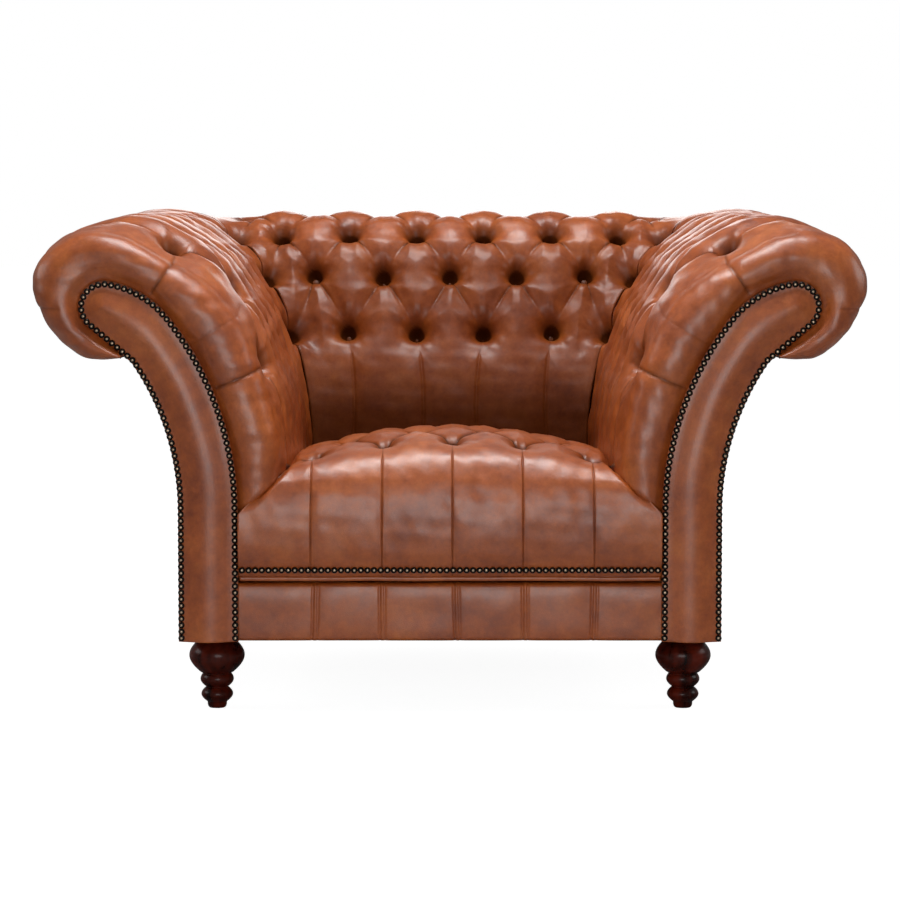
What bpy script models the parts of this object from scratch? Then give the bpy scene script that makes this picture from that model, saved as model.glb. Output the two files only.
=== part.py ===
"""Deep-buttoned scroll-arm armchair: frame, springs, stuffing, leather covers, nail trims and turned feet.

Metres, +Z up. The front faces -Y, and left means -X, the left hand of a person who faces the chair. The
origin is on the floor, under the middle of the chair. Sections of an arm are given as (distance from the
middle, height), and sections of the back as (depth, height).
"""

import math

import bmesh
import bpy
from mathutils import Matrix, Vector

# Overall size
WIDTH = 1.300
DEPTH = 0.950
HEIGHT = 0.775
FRONT = -DEPTH / 2
REAR = DEPTH / 2
GAP = 0.0005

# Thicknesses
LEATHER = 0.0025
STUFFING = 0.035
HESSIAN = 0.0015
BARE = LEATHER + GAP + STUFFING
BOARD = 0.022
RIB = 0.018
NAIL_PROUD = 0.003
HESSIAN_FRONT = -0.280

# Depth of each layer at the front, counted back from the nail heads
PANEL_FRONT = FRONT + NAIL_PROUD + GAP
PANEL_BACK = FRONT + 0.0140
BOARD_FRONT = PANEL_BACK + GAP
BOARD_BACK = BOARD_FRONT + BOARD
FRAME_FRONT = BOARD_BACK + GAP

# Arm facing: two edges that leave the floor plumb and flare out to a small round head
STEM_IN = 0.327
STEM_OUT = 0.419
SKIRT = 0.118
FLARE_START_OUT = 0.3196
FLARE_OUT = 0.400
FLARE_OUT_TURN = 34.4
FLARE_START_IN = 0.3176
FLARE_IN = 0.480
FLARE_IN_TURN = 38.0
SHOULDER = 0.1527
SHOULDER_CENTRE = (0.5491, 0.5191)
HEAD = 0.0394
HEAD_CENTRE = (0.5296, 0.6307)
HEAD_FROM = -53.3
HEAD_TO = 99.9

# Skin of an arm, from under the scroll, round it, over the top and down the inside
ARM_SKIN = [
    (0.505, 0.549),
    (0.540, 0.545),
    (0.5725, 0.549),
    (0.614, 0.582),
    (0.642, 0.628),
    (WIDTH / 2, 0.665),
    (0.641, 0.703),
    (0.610, 0.740),
    (0.560, 0.764),
    (0.505, HEIGHT),
    (0.450, 0.768),
    (0.400, 0.742),
    (0.355, 0.700),
    (0.315, 0.640),
    (0.285, 0.575),
    (0.262, 0.505),
    (0.247, 0.420),
    (0.243, 0.340),
    (0.242, 0.240),
]
ARM_TOP = 9
ARM_SEAT = 16

# Skin of the back, from under its roll, round it, over the top and down to the seat
BACK_SKIN = [
    (0.402, 0.566),
    (0.425, 0.560),
    (0.450, 0.572),
    (0.468, 0.600),
    (REAR, 0.640),
    (0.472, 0.678),
    (0.458, 0.712),
    (0.433, 0.740),
    (0.398, 0.757),
    (0.355, 0.757),
    (0.318, 0.735),
    (0.290, 0.700),
    (0.265, 0.650),
    (0.240, 0.590),
    (0.215, 0.520),
    (0.190, 0.450),
    (0.165, 0.380),
    (0.145, 0.320),
    (0.135, 0.240),
]
BACK_TOP = 9

# The arms and the back meet on an upright plane through these two points of the plan
MITRE_IN = (0.242, 0.130)
MITRE_OUT = (WIDTH / 2, REAR)
MITRE_SLOPE = (MITRE_OUT[1] - MITRE_IN[1]) / (MITRE_OUT[0] - MITRE_IN[0])

# Seat
SEAT_HALF = 0.236
SEAT_BACK = 0.128
SEAT_FRONT = -0.438
CROWN = 0.425
SIDE_DROP = 0.035
END_DROP = 0.020
NAIL_LINE = 0.221
NAIL_HALF = 0.004
LIP_HALF = 0.3245
PIPING = 0.004

# Base frame
RAIL_BOTTOM = 0.126
RAIL_TOP = 0.200
RAIL = 0.0275
RAIL_OUT = 0.4145
BLOCK = 0.066
BLOCK_TOP = 0.183
BACK_PANEL_FRONT = 0.3975
REAR_SEAT_RAIL = 0.150
RIB_PLACES = {"left": -0.300, "centre": 0.0, "right": 0.300}

# Springs
SPRING_WIRE = 0.0019
SPRING_PLACES = (-0.177, -0.059, 0.059, 0.177)
SPRING_Z = 0.203
SPRING_ARCH = 0.016
SPRING_HALF = 0.024
SPRING_RUNS = 12
PLATFORM_Z = 0.2215
PLATFORM = 0.002

# Feet
FOOT_X = 0.365
FOOT_Y = {"front": -0.400, "rear": 0.345}
FOOT_TOP = 0.1175
SPIGOT = 0.020
BOLT = 0.004
BOLT_BOTTOM = 0.0715
BOLT_CLEAR = 0.0005
FOOT_STEPS = 16

# How a flat outline is stood up so that its thickness runs along an axis
STANDING = {
    "x": Matrix(((0, 0, 1, 0), (1, 0, 0, 0), (0, 1, 0, 0), (0, 0, 0, 1))),
    "y": Matrix(((1, 0, 0, 0), (0, 0, -1, 0), (0, 1, 0, 0), (0, 0, 0, 1))),
    "z": Matrix.Identity(4),
}

FINISHES = {
    "leather": ((0.30, 0.075, 0.022, 1.0), 0.40, 0.0),
    "frame_timber": ((0.55, 0.36, 0.19, 1.0), 0.70, 0.0),
    "plywood": ((0.60, 0.43, 0.25, 1.0), 0.70, 0.0),
    "foot_timber": ((0.030, 0.006, 0.004, 1.0), 0.22, 0.0),
    "foam": ((0.78, 0.70, 0.45, 1.0), 0.90, 0.0),
    "hessian": ((0.36, 0.26, 0.14, 1.0), 0.95, 0.0),
    "dust_cloth": ((0.02, 0.02, 0.02, 1.0), 0.95, 0.0),
    "spring_steel": ((0.20, 0.21, 0.22, 1.0), 0.40, 1.0),
    "bolt_steel": ((0.50, 0.50, 0.52, 1.0), 0.35, 1.0),
    "nail_bronze": ((0.09, 0.055, 0.030, 1.0), 0.35, 1.0),
}


def clear_scene():
    for obj in list(bpy.data.objects):
        bpy.data.objects.remove(obj, do_unlink=True)


def make_materials():
    made = {}
    for name, (colour, roughness, metallic) in FINISHES.items():
        material = bpy.data.materials.new(name)
        material.use_nodes = True
        shader = material.node_tree.nodes["Principled BSDF"]
        shader.inputs["Base Color"].default_value = colour
        shader.inputs["Roughness"].default_value = roughness
        shader.inputs["Metallic"].default_value = metallic
        made[name] = material
    return made


clear_scene()
MATERIALS = make_materials()
CHAIR = bpy.data.collections.new("scroll_arm_armchair")
bpy.context.scene.collection.children.link(CHAIR)


def keep(name, data, finish):
    """Puts data in the chair's collection, as the object called name."""
    data.materials.clear()
    data.materials.append(MATERIALS[finish])
    obj = bpy.data.objects.new(name, data)
    CHAIR.objects.link(obj)
    return obj


def finish_mesh(bm, name, finish):
    bmesh.ops.recalc_face_normals(bm, faces=bm.faces)
    mesh = bpy.data.meshes.new(name)
    bm.to_mesh(mesh)
    bm.free()
    return keep(name, mesh, finish)


def box(name, low, high, finish):
    bm = bmesh.new()
    bmesh.ops.create_cube(bm, size=1.0)
    sides = [b - a for a, b in zip(low, high)]
    middle = [(a + b) / 2 for a, b in zip(low, high)]
    bmesh.ops.scale(bm, vec=sides, verts=bm.verts)
    bmesh.ops.translate(bm, vec=middle, verts=bm.verts)
    return finish_mesh(bm, name, finish)


def side_box(name, side, low, high, finish):
    """A box given on the right-hand side, or its reflection on the left."""
    ends = sorted((side * low[0], side * high[0]))
    return box(name, (ends[0], low[1], low[2]), (ends[1], high[1], high[2]), finish)


def outline_solid(name, loops, start, end, axis, finish):
    """A flat outline, its loops after the first being holes, made as thick as start to end along the axis."""
    curve = bpy.data.curves.new(name, "CURVE")
    curve.dimensions = "2D"
    curve.fill_mode = "BOTH"
    curve.extrude = (end - start) / 2
    for loop in loops:
        spline = curve.splines.new("POLY")
        spline.points.add(len(loop) - 1)
        for point, (across, up) in zip(spline.points, loop):
            point.co = (across, up, 0.0, 1.0)
        spline.use_cyclic_u = True
    guide = bpy.data.objects.new(name + "_outline", curve)
    CHAIR.objects.link(guide)
    graph = bpy.context.evaluated_depsgraph_get()
    mesh = bpy.data.meshes.new_from_object(guide.evaluated_get(graph))
    bm = bmesh.new()
    bm.from_mesh(mesh)
    bmesh.ops.remove_doubles(bm, verts=bm.verts, dist=0.00001)
    bmesh.ops.transform(bm, matrix=STANDING[axis], verts=bm.verts)
    middle = Vector([(start + end) / 2 if letter == axis else 0.0 for letter in "xyz"])
    bmesh.ops.translate(bm, vec=middle, verts=bm.verts)
    bpy.data.objects.remove(guide)
    bpy.data.meshes.remove(mesh)
    return finish_mesh(bm, name, finish)


def wire(name, points, radius, finish):
    curve = bpy.data.curves.new(name, "CURVE")
    curve.dimensions = "3D"
    curve.bevel_depth = radius
    curve.bevel_resolution = 2
    curve.use_fill_caps = True
    spline = curve.splines.new("POLY")
    spline.points.add(len(points) - 1)
    for point, place in zip(spline.points, points):
        point.co = (*place, 1.0)
    return keep(name, curve, finish)


def turned(name, profile, place, steps, finish):
    """A turned solid. The profile runs down the outer side, from the axis to the axis."""
    mesh = bpy.data.meshes.new(name)
    edges = [(i, i + 1) for i in range(len(profile) - 1)]
    mesh.from_pydata([(radius, 0.0, height) for radius, height in profile], edges, [])
    obj = keep(name, mesh, finish)
    obj.location = place
    screw = obj.modifiers.new("turn", "SCREW")
    screw.steps = steps
    screw.render_steps = steps
    screw.use_merge_vertices = True
    screw.merge_threshold = 0.00001
    return obj


def arc(centre, radius, start, end, count):
    """Points on a circle from one angle to another, in degrees, both ends included."""
    found = []
    for step in range(count + 1):
        angle = math.radians(start + (end - start) * step / count)
        found.append((centre[0] + radius * math.cos(angle), centre[1] + radius * math.sin(angle)))
    return found


def smooth(points, per_span=2):
    """A Catmull-Rom curve through the points, with per_span steps from each to the next."""
    ends = [points[0], *points, points[-1]]
    found = []
    for i in range(len(points) - 1):
        a, b, c, d = (Vector(p) for p in ends[i : i + 4])
        for step in range(per_span):
            t = step / per_span
            square = (2 * a - 5 * b + 4 * c - d) * t**2
            cube = (3 * b - a - 3 * c + d) * t**3
            found.append(tuple(0.5 * (2 * b + (c - a) * t + square + cube)))
    return [*found, points[-1]]


def moved_in(points, distance):
    """The open path, moved to its left by a distance."""
    path = [Vector(p) for p in points]
    turned_left = []
    for a, b in zip(path, path[1:]):
        along = (b - a).normalized()
        turned_left.append(Vector((-along.y, along.x)))
    sides = [turned_left[0], *turned_left, turned_left[-1]]
    found = []
    for place, before, after in zip(path, sides, sides[1:]):
        middle = (before + after).normalized()
        found.append(tuple(place + middle * distance / max(middle.dot(before), 0.5)))
    return found


def strip(path, outer, inner, first=0):
    """The outline of a layer between two distances inside a path, from its point number first on."""
    return moved_in(path, outer)[first:] + moved_in(path, inner)[first:][::-1]


def mirrored(points, side):
    return [(side * across, up) for across, up in points]


def outer_edge(base):
    """Outer edge of the arm facing, upwards."""
    centre = (STEM_OUT + FLARE_OUT, FLARE_START_OUT)
    return [(STEM_OUT, base), *arc(centre, FLARE_OUT, 180, 180 - FLARE_OUT_TURN, 6)]


def head_and_inner_edge(base):
    """Head of the arm facing, and its inner edge downwards."""
    centre = (STEM_IN + FLARE_IN, FLARE_START_IN)
    shoulder = arc(SHOULDER_CENTRE, SHOULDER, HEAD_TO, 180 - FLARE_IN_TURN, 5)[1:]
    return [
        *arc(HEAD_CENTRE, HEAD, HEAD_FROM, HEAD_TO, 8),
        *shoulder,
        *arc(centre, FLARE_IN, 180 - FLARE_IN_TURN, 180, 6)[1:],
        (STEM_IN, base),
    ]


def facing_path(base):
    return outer_edge(base) + head_and_inner_edge(base)


def cut_to_mitre(obj, of_arm):
    """Moves the far end of an arm layer, or both ends of a back layer, onto the plane where they meet."""
    for vertex in obj.data.vertices:
        place = vertex.co
        if not of_arm:
            half = MITRE_IN[0] + (place.y - MITRE_IN[1]) / MITRE_SLOPE
            place.x = math.copysign(half - GAP, place.x)
        elif place.y > 0:
            place.y = MITRE_IN[1] + MITRE_SLOPE * (abs(place.x) - MITRE_IN[0]) - GAP


def arm_layer(name, side, outer, inner, finish, first=0, start=FRAME_FRONT):
    loop = mirrored(strip(smooth(ARM_SKIN), outer, inner, first), side)
    obj = outline_solid(name, [loop], start, REAR, "y", finish)
    cut_to_mitre(obj, True)


def back_layer(name, outer, inner, finish, first=0):
    loop = strip(smooth(BACK_SKIN), outer, inner, first)
    obj = outline_solid(name, [loop], -WIDTH / 2, WIDTH / 2, "x", finish)
    cut_to_mitre(obj, False)


def make_arm_covers(hand, side):
    arm_layer(f"{hand}_inside_arm_cover", side, 0.0, LEATHER, "leather")
    arm_layer(f"{hand}_arm_stuffing", side, LEATHER + GAP, BARE, "foam")
    near = BARE + GAP
    arm_layer(f"{hand}_arm_hessian", side, near, near + HESSIAN, "hessian", 2 * ARM_TOP, HESSIAN_FRONT)
    panel = strip(outer_edge(SKIRT + 0.001), 0.0, LEATHER)
    outline_solid(
        f"{hand}_outside_arm_cover",
        [mirrored(panel, side)],
        BOARD_FRONT,
        BACK_PANEL_FRONT - GAP,
        "y",
        "leather",
    )


def make_arm_front(hand, side):
    facing = facing_path(SKIRT)
    panel = [mirrored(facing, side)]
    outline_solid(f"{hand}_facing_panel", panel, PANEL_FRONT, PANEL_BACK, "y", "leather")
    board = moved_in(facing_path(SKIRT + 0.0035), LEATHER + 2 * GAP)
    outline_solid(f"{hand}_facing_board", [mirrored(board, side)], BOARD_FRONT, BOARD_BACK, "y", "plywood")
    nails = strip(facing, 0.002, 0.010)
    proud = FRONT + NAIL_PROUD
    outline_solid(f"{hand}_facing_nails", [mirrored(nails, side)], FRONT, proud, "y", "nail_bronze")
    skin = smooth(ARM_SKIN)[: 2 * ARM_SEAT + 1]
    tuck = [(0.250, 0.374), (0.277, 0.349), (0.322, 0.316)]
    around = [p for p in moved_in(head_and_inner_edge(SKIRT), -2 * GAP) if p[1] > 0.325]
    roll = skin + tuck + around[::-1]
    outline_solid(f"{hand}_arm_front_roll", [mirrored(roll, side)], BOARD_FRONT, BOARD_BACK, "y", "foam")


def make_arm_frame(hand, side):
    rear_board = [
        (0.300, RAIL_TOP + GAP),
        (0.410, RAIL_TOP + GAP),
        (0.410, 0.320),
        (0.422, 0.420),
        (0.457, 0.520),
        (0.490, 0.592),
        (0.560, 0.602),
        (0.598, 0.640),
        (0.598, 0.680),
        (0.565, 0.708),
        (0.505, 0.718),
        (0.455, 0.705),
        (0.405, 0.660),
        (0.365, 0.600),
        (0.330, 0.520),
        (0.303, 0.430),
        (0.295, 0.360),
    ]
    far = 0.1400
    outline_solid(f"{hand}_rear_arm_board", [mirrored(rear_board, side)], far, far + RIB, "y", "plywood")
    end = far - GAP
    side_box(f"{hand}_arm_rail", side, (0.523, FRAME_FRONT, 0.627), (0.573, end, 0.677), "frame_timber")
    side_box(f"{hand}_arm_stuff_rail", side, (0.300, FRAME_FRONT, 0.240), (0.330, end, 0.290), "frame_timber")
    low = (RAIL_OUT - RAIL, FRAME_FRONT, RAIL_BOTTOM)
    high = (RAIL_OUT, BACK_PANEL_FRONT - 2 * GAP, RAIL_TOP)
    side_box(f"{hand}_base_rail", side, low, high, "frame_timber")


def bead(top, bottom, belly, count):
    """A turned bead from one (radius, height) to another, which swells by belly at its middle."""
    found = []
    for step in range(count):
        t = step / count
        radius = top[0] + (bottom[0] - top[0]) * t + belly * math.sin(math.pi * t)
        found.append((radius, top[1] + (bottom[1] - top[1]) * t))
    return found


def foot_profile():
    bore = BOLT + BOLT_CLEAR
    shoulder = RAIL_BOTTOM - GAP
    return [
        (0.0, BOLT_BOTTOM - GAP),
        (bore, BOLT_BOTTOM - GAP),
        (bore, shoulder),
        (SPIGOT, shoulder),
        (SPIGOT, FOOT_TOP),
        *bead((0.0310, FOOT_TOP), (0.0235, 0.0585), 0.0165, 6),
        *bead((0.0235, 0.0585), (0.0180, 0.0375), 0.0055, 4),
        *bead((0.0180, 0.0375), (0.0155, 0.0120), 0.0083, 4),
        (0.0155, 0.0120),
        (0.0145, 0.0),
        (0.0, 0.0),
    ]


def make_corner(hand, side, end):
    """Foot, bolt and corner block of one corner."""
    place = (side * FOOT_X, FOOT_Y[end])
    turned(f"{hand}_{end}_foot", foot_profile(), (*place, 0.0), FOOT_STEPS, "foot_timber")
    bolt = arc(place, BOLT, 0, 330, 11)
    outline_solid(f"{hand}_{end}_foot_bolt", [bolt], BOLT_BOTTOM, BLOCK_TOP + 0.010, "z", "bolt_steel")
    inner_face = FRAME_FRONT + RAIL if end == "front" else BACK_PANEL_FRONT - 2 * GAP - RAIL
    inward = 1 if end == "front" else -1
    near = inner_face + inward * GAP
    far = near + inward * BLOCK
    outer = side * (RAIL_OUT - RAIL - GAP)
    inner = outer - side * BLOCK
    block = [(outer, near), (outer, far), (inner, far), (inner, near)]
    hole = arc(place, BOLT + BOLT_CLEAR, 0, 330, 11)
    outline_solid(f"{hand}_{end}_corner_block", [block, hole], RAIL_BOTTOM, BLOCK_TOP, "z", "frame_timber")


def make_base_rails():
    half = RAIL_OUT - RAIL - GAP
    for name, near in (
        ("front_base_rail", FRAME_FRONT),
        ("rear_base_rail", BACK_PANEL_FRONT - 2 * GAP - RAIL),
        ("rear_seat_rail", REAR_SEAT_RAIL),
    ):
        box(name, (-half, near, RAIL_BOTTOM), (half, near + RAIL, RAIL_TOP), "frame_timber")
    cover = RAIL_OUT - 0.002
    back = BACK_PANEL_FRONT - 0.004
    plan = [(-cover, FRAME_FRONT), (cover, FRAME_FRONT), (cover, back), (-cover, back)]
    holes = []
    for side in (-1, 1):
        for y in FOOT_Y.values():
            holes.append(arc((side * FOOT_X, y), SPIGOT + 0.002, 0, 337.5, 15))
    outline_solid("dust_cover", [plan, *holes], RAIL_BOTTOM - 0.0025, RAIL_BOTTOM - GAP, "z", "dust_cloth")


def square(centre, half):
    y, z = centre
    return [(y - half, z - half), (y + half, z - half), (y + half, z + half), (y - half, z + half)]


def make_back():
    back_layer("inside_back_cover", 0.0, LEATHER, "leather")
    back_layer("back_stuffing", LEATHER + GAP, BARE, "foam")
    back_layer("back_hessian", BARE + GAP, BARE + GAP + HESSIAN, "hessian", 2 * BACK_TOP)
    rib = [
        (0.195, RAIL_TOP + GAP),
        (0.3955, RAIL_TOP + GAP),
        (0.3955, 0.600),
        (0.418, 0.632),
        (0.428, 0.660),
        (0.410, 0.698),
        (0.378, 0.712),
        (0.348, 0.698),
        (0.322, 0.660),
        (0.297, 0.600),
        (0.272, 0.530),
        (0.247, 0.460),
        (0.222, 0.390),
        (0.202, 0.330),
        (0.195, 0.270),
    ]
    top_rail = (0.378, 0.655)
    stuff_rail = (0.225, 0.255)
    rail_half = 0.018
    holes = [square(top_rail, rail_half + GAP), square(stuff_rail, rail_half + GAP)]
    for where, x in RIB_PLACES.items():
        outline_solid(f"{where}_back_rib", [rib, *holes], x - RIB / 2, x + RIB / 2, "x", "plywood")
    reach = RIB_PLACES["right"] + 0.030
    outline_solid("back_top_rail", [square(top_rail, rail_half)], -reach, reach, "x", "frame_timber")
    outline_solid("back_stuff_rail", [square(stuff_rail, rail_half)], -reach, reach, "x", "frame_timber")
    edge = outer_edge(SKIRT + 0.001)
    panel = edge + mirrored(edge, -1)[::-1]
    outline_solid("outside_back_cover", [panel], BACK_PANEL_FRONT, BACK_PANEL_FRONT + LEATHER, "y", "leather")


def seat_top(x, y):
    """Height of the seat's skin: a low dome."""
    middle = (SEAT_FRONT + SEAT_BACK) / 2
    half = (SEAT_BACK - SEAT_FRONT) / 2
    return CROWN - SIDE_DROP * (x / SEAT_HALF) ** 2 - END_DROP * ((y - middle) / half) ** 2


def make_seat_cover():
    front = FRONT + 0.0045
    rows = [
        (front, NAIL_LINE + 0.001, LIP_HALF),
        (front, 0.300, LIP_HALF),
        (front, 0.335, 0.276),
        (front, 0.355, 0.250),
        (front + 0.0015, 0.375, 0.240),
        (front + 0.0075, 0.391, 0.236),
        (front + 0.0180, 0.401, 0.235),
    ]
    spans = 6
    for step in range(spans + 1):
        y = SEAT_FRONT + (SEAT_BACK - SEAT_FRONT) * step / spans
        rows.append((y, seat_top(0.0, y), 0.235))
    columns = 8
    bm = bmesh.new()
    grid = []
    for y, z, half in rows:
        # The dome's drop at the sides grows from nothing at the nail line to its full depth on top.
        full = min(max((z - 0.36) / 0.04, 0.0), 1.0)
        shares = [2 * i / columns - 1 for i in range(columns + 1)]
        grid.append([bm.verts.new((half * s, y, z - full * SIDE_DROP * s * s)) for s in shares])
    for low, high in zip(grid, grid[1:]):
        for i in range(columns):
            bm.faces.new((low[i], low[i + 1], high[i + 1], high[i]))
    mesh = bpy.data.meshes.new("seat_cover")
    bm.to_mesh(mesh)
    bm.free()
    cover = keep("seat_cover", mesh, "leather")
    solid = cover.modifiers.new("leather", "SOLIDIFY")
    solid.thickness = 0.002
    solid.offset = -1.0


def make_seat_stuffing():
    bm = bmesh.new()
    bmesh.ops.create_cube(bm, size=2.0)
    bmesh.ops.subdivide_edges(bm, edges=bm.edges, cuts=5, use_grid_fill=True)
    floor = PLATFORM_Z + PLATFORM + GAP
    for vertex in bm.verts:
        x = vertex.co.x * (SEAT_HALF - 0.004)
        middle = (SEAT_FRONT + SEAT_BACK) / 2
        y = middle + vertex.co.y * (SEAT_BACK - SEAT_FRONT) / 2
        share = (vertex.co.z + 1) / 2
        vertex.co = (x, y, floor + share * (seat_top(x, y) - 0.006 - floor))
    finish_mesh(bm, "seat_stuffing", "foam")
    half = LIP_HALF - 0.001
    edge = [(half, 0.298), (0.274, 0.332), (0.246, 0.349), (0.150, 0.358), (0.0, 0.360)]
    lip = [(half, 0.2185), *edge, *mirrored(edge[:-1], -1)[::-1], (-half, 0.2185)]
    outline_solid("seat_front_edge", [lip], FRONT + 0.0085, FRAME_FRONT - 2 * GAP, "y", "foam")


def make_seat_base():
    half = SEAT_HALF - 0.001
    low = (-half, FRAME_FRONT + GAP, PLATFORM_Z)
    box("seat_platform", low, (half, REAR_SEAT_RAIL - 0.010, PLATFORM_Z + PLATFORM), "hessian")
    start = FRAME_FRONT + RAIL / 2
    end = REAR_SEAT_RAIL + RAIL / 2
    pitch = (end - start) / SPRING_RUNS
    for number, x in enumerate(SPRING_PLACES, start=1):
        points = []
        for run in range(SPRING_RUNS + 1):
            turn = 1 if run % 2 else -1
            for across, along in ((-0.6, 0.0), (0.6, 0.0), (1.0, 0.3), (1.0, 0.7)):
                y = start + (run + along) * pitch
                if y <= end + GAP:
                    z = SPRING_Z + SPRING_ARCH * math.sin(math.pi * (y - start) / (end - start))
                    points.append((x + turn * across * SPRING_HALF, y, z))
        wire(f"seat_spring_{number}", points, SPRING_WIRE, "spring_steel")


def make_front_trim():
    half = LIP_HALF + 0.001
    box(
        "front_border",
        (-half, FRONT + 0.0090, SKIRT + 0.001),
        (half, FRAME_FRONT - GAP, RAIL_TOP + GAP),
        "leather",
    )
    wire(
        "seat_piping",
        [(-LIP_HALF, FRONT + 0.0080, 0.2115), (LIP_HALF, FRONT + 0.0080, 0.2115)],
        PIPING,
        "leather",
    )
    box(
        "seat_nails",
        (-LIP_HALF, FRONT, NAIL_LINE + GAP),
        (LIP_HALF, FRONT + NAIL_PROUD, NAIL_LINE + 2 * NAIL_HALF),
        "nail_bronze",
    )


for hand, side in (("left", -1), ("right", 1)):
    make_arm_covers(hand, side)
    make_arm_front(hand, side)
    make_arm_frame(hand, side)
    for end in FOOT_Y:
        make_corner(hand, side, end)
make_base_rails()
make_back()
make_seat_cover()
make_seat_stuffing()
make_seat_base()
make_front_trim()
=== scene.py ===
"""Looks of the deep-buttoned scroll-arm armchair: tufted leather, close nails, piping, timber and studio.

Metres, +Z up, front towards -Y. Sections of an arm are (distance from the middle, height), and sections of
the back are (depth, height). Both are counted in the same steps, from under the roll, round it, over the top
and down to the seat, so that a step on an arm meets the same step on the back at the corner.
"""

from __future__ import annotations

import logging
import math
from dataclasses import dataclass, field, replace
from enum import Enum

import bmesh
import bpy
import numpy as np
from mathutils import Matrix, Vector


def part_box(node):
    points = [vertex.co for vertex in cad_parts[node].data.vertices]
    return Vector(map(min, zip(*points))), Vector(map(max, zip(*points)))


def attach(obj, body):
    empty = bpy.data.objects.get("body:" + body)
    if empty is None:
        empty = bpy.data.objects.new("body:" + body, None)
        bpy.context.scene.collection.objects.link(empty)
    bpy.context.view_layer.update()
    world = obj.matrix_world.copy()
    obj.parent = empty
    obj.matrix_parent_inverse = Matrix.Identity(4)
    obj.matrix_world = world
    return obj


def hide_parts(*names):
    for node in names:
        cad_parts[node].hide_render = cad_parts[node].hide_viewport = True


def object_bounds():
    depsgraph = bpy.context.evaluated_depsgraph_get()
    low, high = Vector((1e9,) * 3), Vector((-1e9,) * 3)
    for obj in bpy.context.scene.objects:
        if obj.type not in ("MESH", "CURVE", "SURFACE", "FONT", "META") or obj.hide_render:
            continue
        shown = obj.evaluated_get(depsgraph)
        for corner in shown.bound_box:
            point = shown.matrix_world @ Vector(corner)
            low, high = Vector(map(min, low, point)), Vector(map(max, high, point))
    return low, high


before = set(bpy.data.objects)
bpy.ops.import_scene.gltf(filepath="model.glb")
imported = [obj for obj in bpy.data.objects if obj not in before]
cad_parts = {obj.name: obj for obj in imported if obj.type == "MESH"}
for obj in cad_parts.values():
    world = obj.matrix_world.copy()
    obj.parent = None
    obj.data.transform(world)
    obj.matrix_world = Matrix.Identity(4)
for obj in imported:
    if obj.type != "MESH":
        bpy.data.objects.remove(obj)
CAD_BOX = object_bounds()
LOG = logging.getLogger("armchair")
ROOT = "root"
SEED = 7
# How far the leather's hems hang below the frame's panels.
HEM = 0.0045

# Column number of the button in the rear corner.
CORNER_COLUMN = 99
# Carries a point from the right-hand side to the left.
MIRROR = np.array([-1.0, 1.0, 1.0])

Array = np.ndarray
Place = tuple[float, float]


class Hand(Enum):
    """The two arms, by the side of a person who faces the chair."""

    LEFT = -1
    RIGHT = 1

    @property
    def word(self) -> str:
        """Name used in node names."""
        return self.name.lower()

    @property
    def side(self) -> Array:
        """Factors that carry a right-hand point to this side."""
        return np.array([self.value, 1.0, 1.0])


# ------------------------------------------------------------------ sections

ARM_SKIN = np.array(
    [
        (0.505, 0.549),
        (0.540, 0.545),
        (0.5725, 0.549),
        (0.614, 0.582),
        (0.642, 0.628),
        (0.650, 0.665),
        (0.641, 0.703),
        (0.610, 0.740),
        (0.560, 0.764),
        (0.505, 0.775),
        (0.450, 0.768),
        (0.400, 0.742),
        (0.355, 0.700),
        (0.315, 0.640),
        (0.285, 0.575),
        (0.262, 0.505),
        (0.247, 0.420),
        (0.243, 0.340),
        (0.242, 0.240),
    ]
)

# The soft edge where the front of an arm turns into its inside and top.
ARM_RIDGE = np.array(
    [
        (0.506, 0.551),
        (0.540, 0.547),
        (0.572, 0.551),
        (0.611, 0.584),
        (0.638, 0.630),
        (0.646, 0.665),
        (0.636, 0.701),
        (0.605, 0.733),
        (0.560, 0.752),
        (0.506, 0.746),
        (0.452, 0.722),
        (0.402, 0.691),
        (0.358, 0.655),
        (0.324, 0.611),
        (0.302, 0.560),
        (0.280, 0.500),
        (0.262, 0.425),
        (0.262, 0.350),
        (0.262, 0.240),
    ]
)

BACK_SKIN = np.array(
    [
        (0.402, 0.566),
        (0.425, 0.560),
        (0.448, 0.569),
        (0.464, 0.591),
        (0.473, 0.619),
        (0.475, 0.650),
        (0.470, 0.685),
        (0.455, 0.718),
        (0.430, 0.745),
        (0.395, 0.759),
        (0.358, 0.757),
        (0.322, 0.738),
        (0.292, 0.702),
        (0.262, 0.640),
        (0.236, 0.575),
        (0.210, 0.505),
        (0.179, 0.420),
        (0.152, 0.340),
        (0.135, 0.240),
    ]
)


def spline(points: Array, at: Array) -> Array:
    """A Catmull-Rom curve through points, read at steps that count from 0.

    Args:
        points: The points, one a row.
        at: Steps along the curve. Point i is at step i.

    Returns:
        One row for each step.
    """
    ends = np.vstack([2 * points[0] - points[1], points, 2 * points[-1] - points[-2]])
    at = np.clip(np.asarray(at, float), 0.0, len(points) - 1 - 1e-9)
    low = np.floor(at).astype(int)
    f = (at - low)[..., None]
    a, b, c, d = ends[low], ends[low + 1], ends[low + 2], ends[low + 3]
    return 0.5 * (2 * b + (c - a) * f + (2 * a - 5 * b + 4 * c - d) * f**2 + (3 * b - a - 3 * c + d) * f**3)


def smoothstep(value: Array) -> Array:
    """0 below 0, 1 above 1, and an S-shaped rise between."""
    t = np.clip(value, 0.0, 1.0)
    return t * t * (3 - 2 * t)


def bell(value: Array) -> Array:
    """1 at 0, fading evenly to 0 on both sides."""
    return np.exp(-(value**2))


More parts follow.
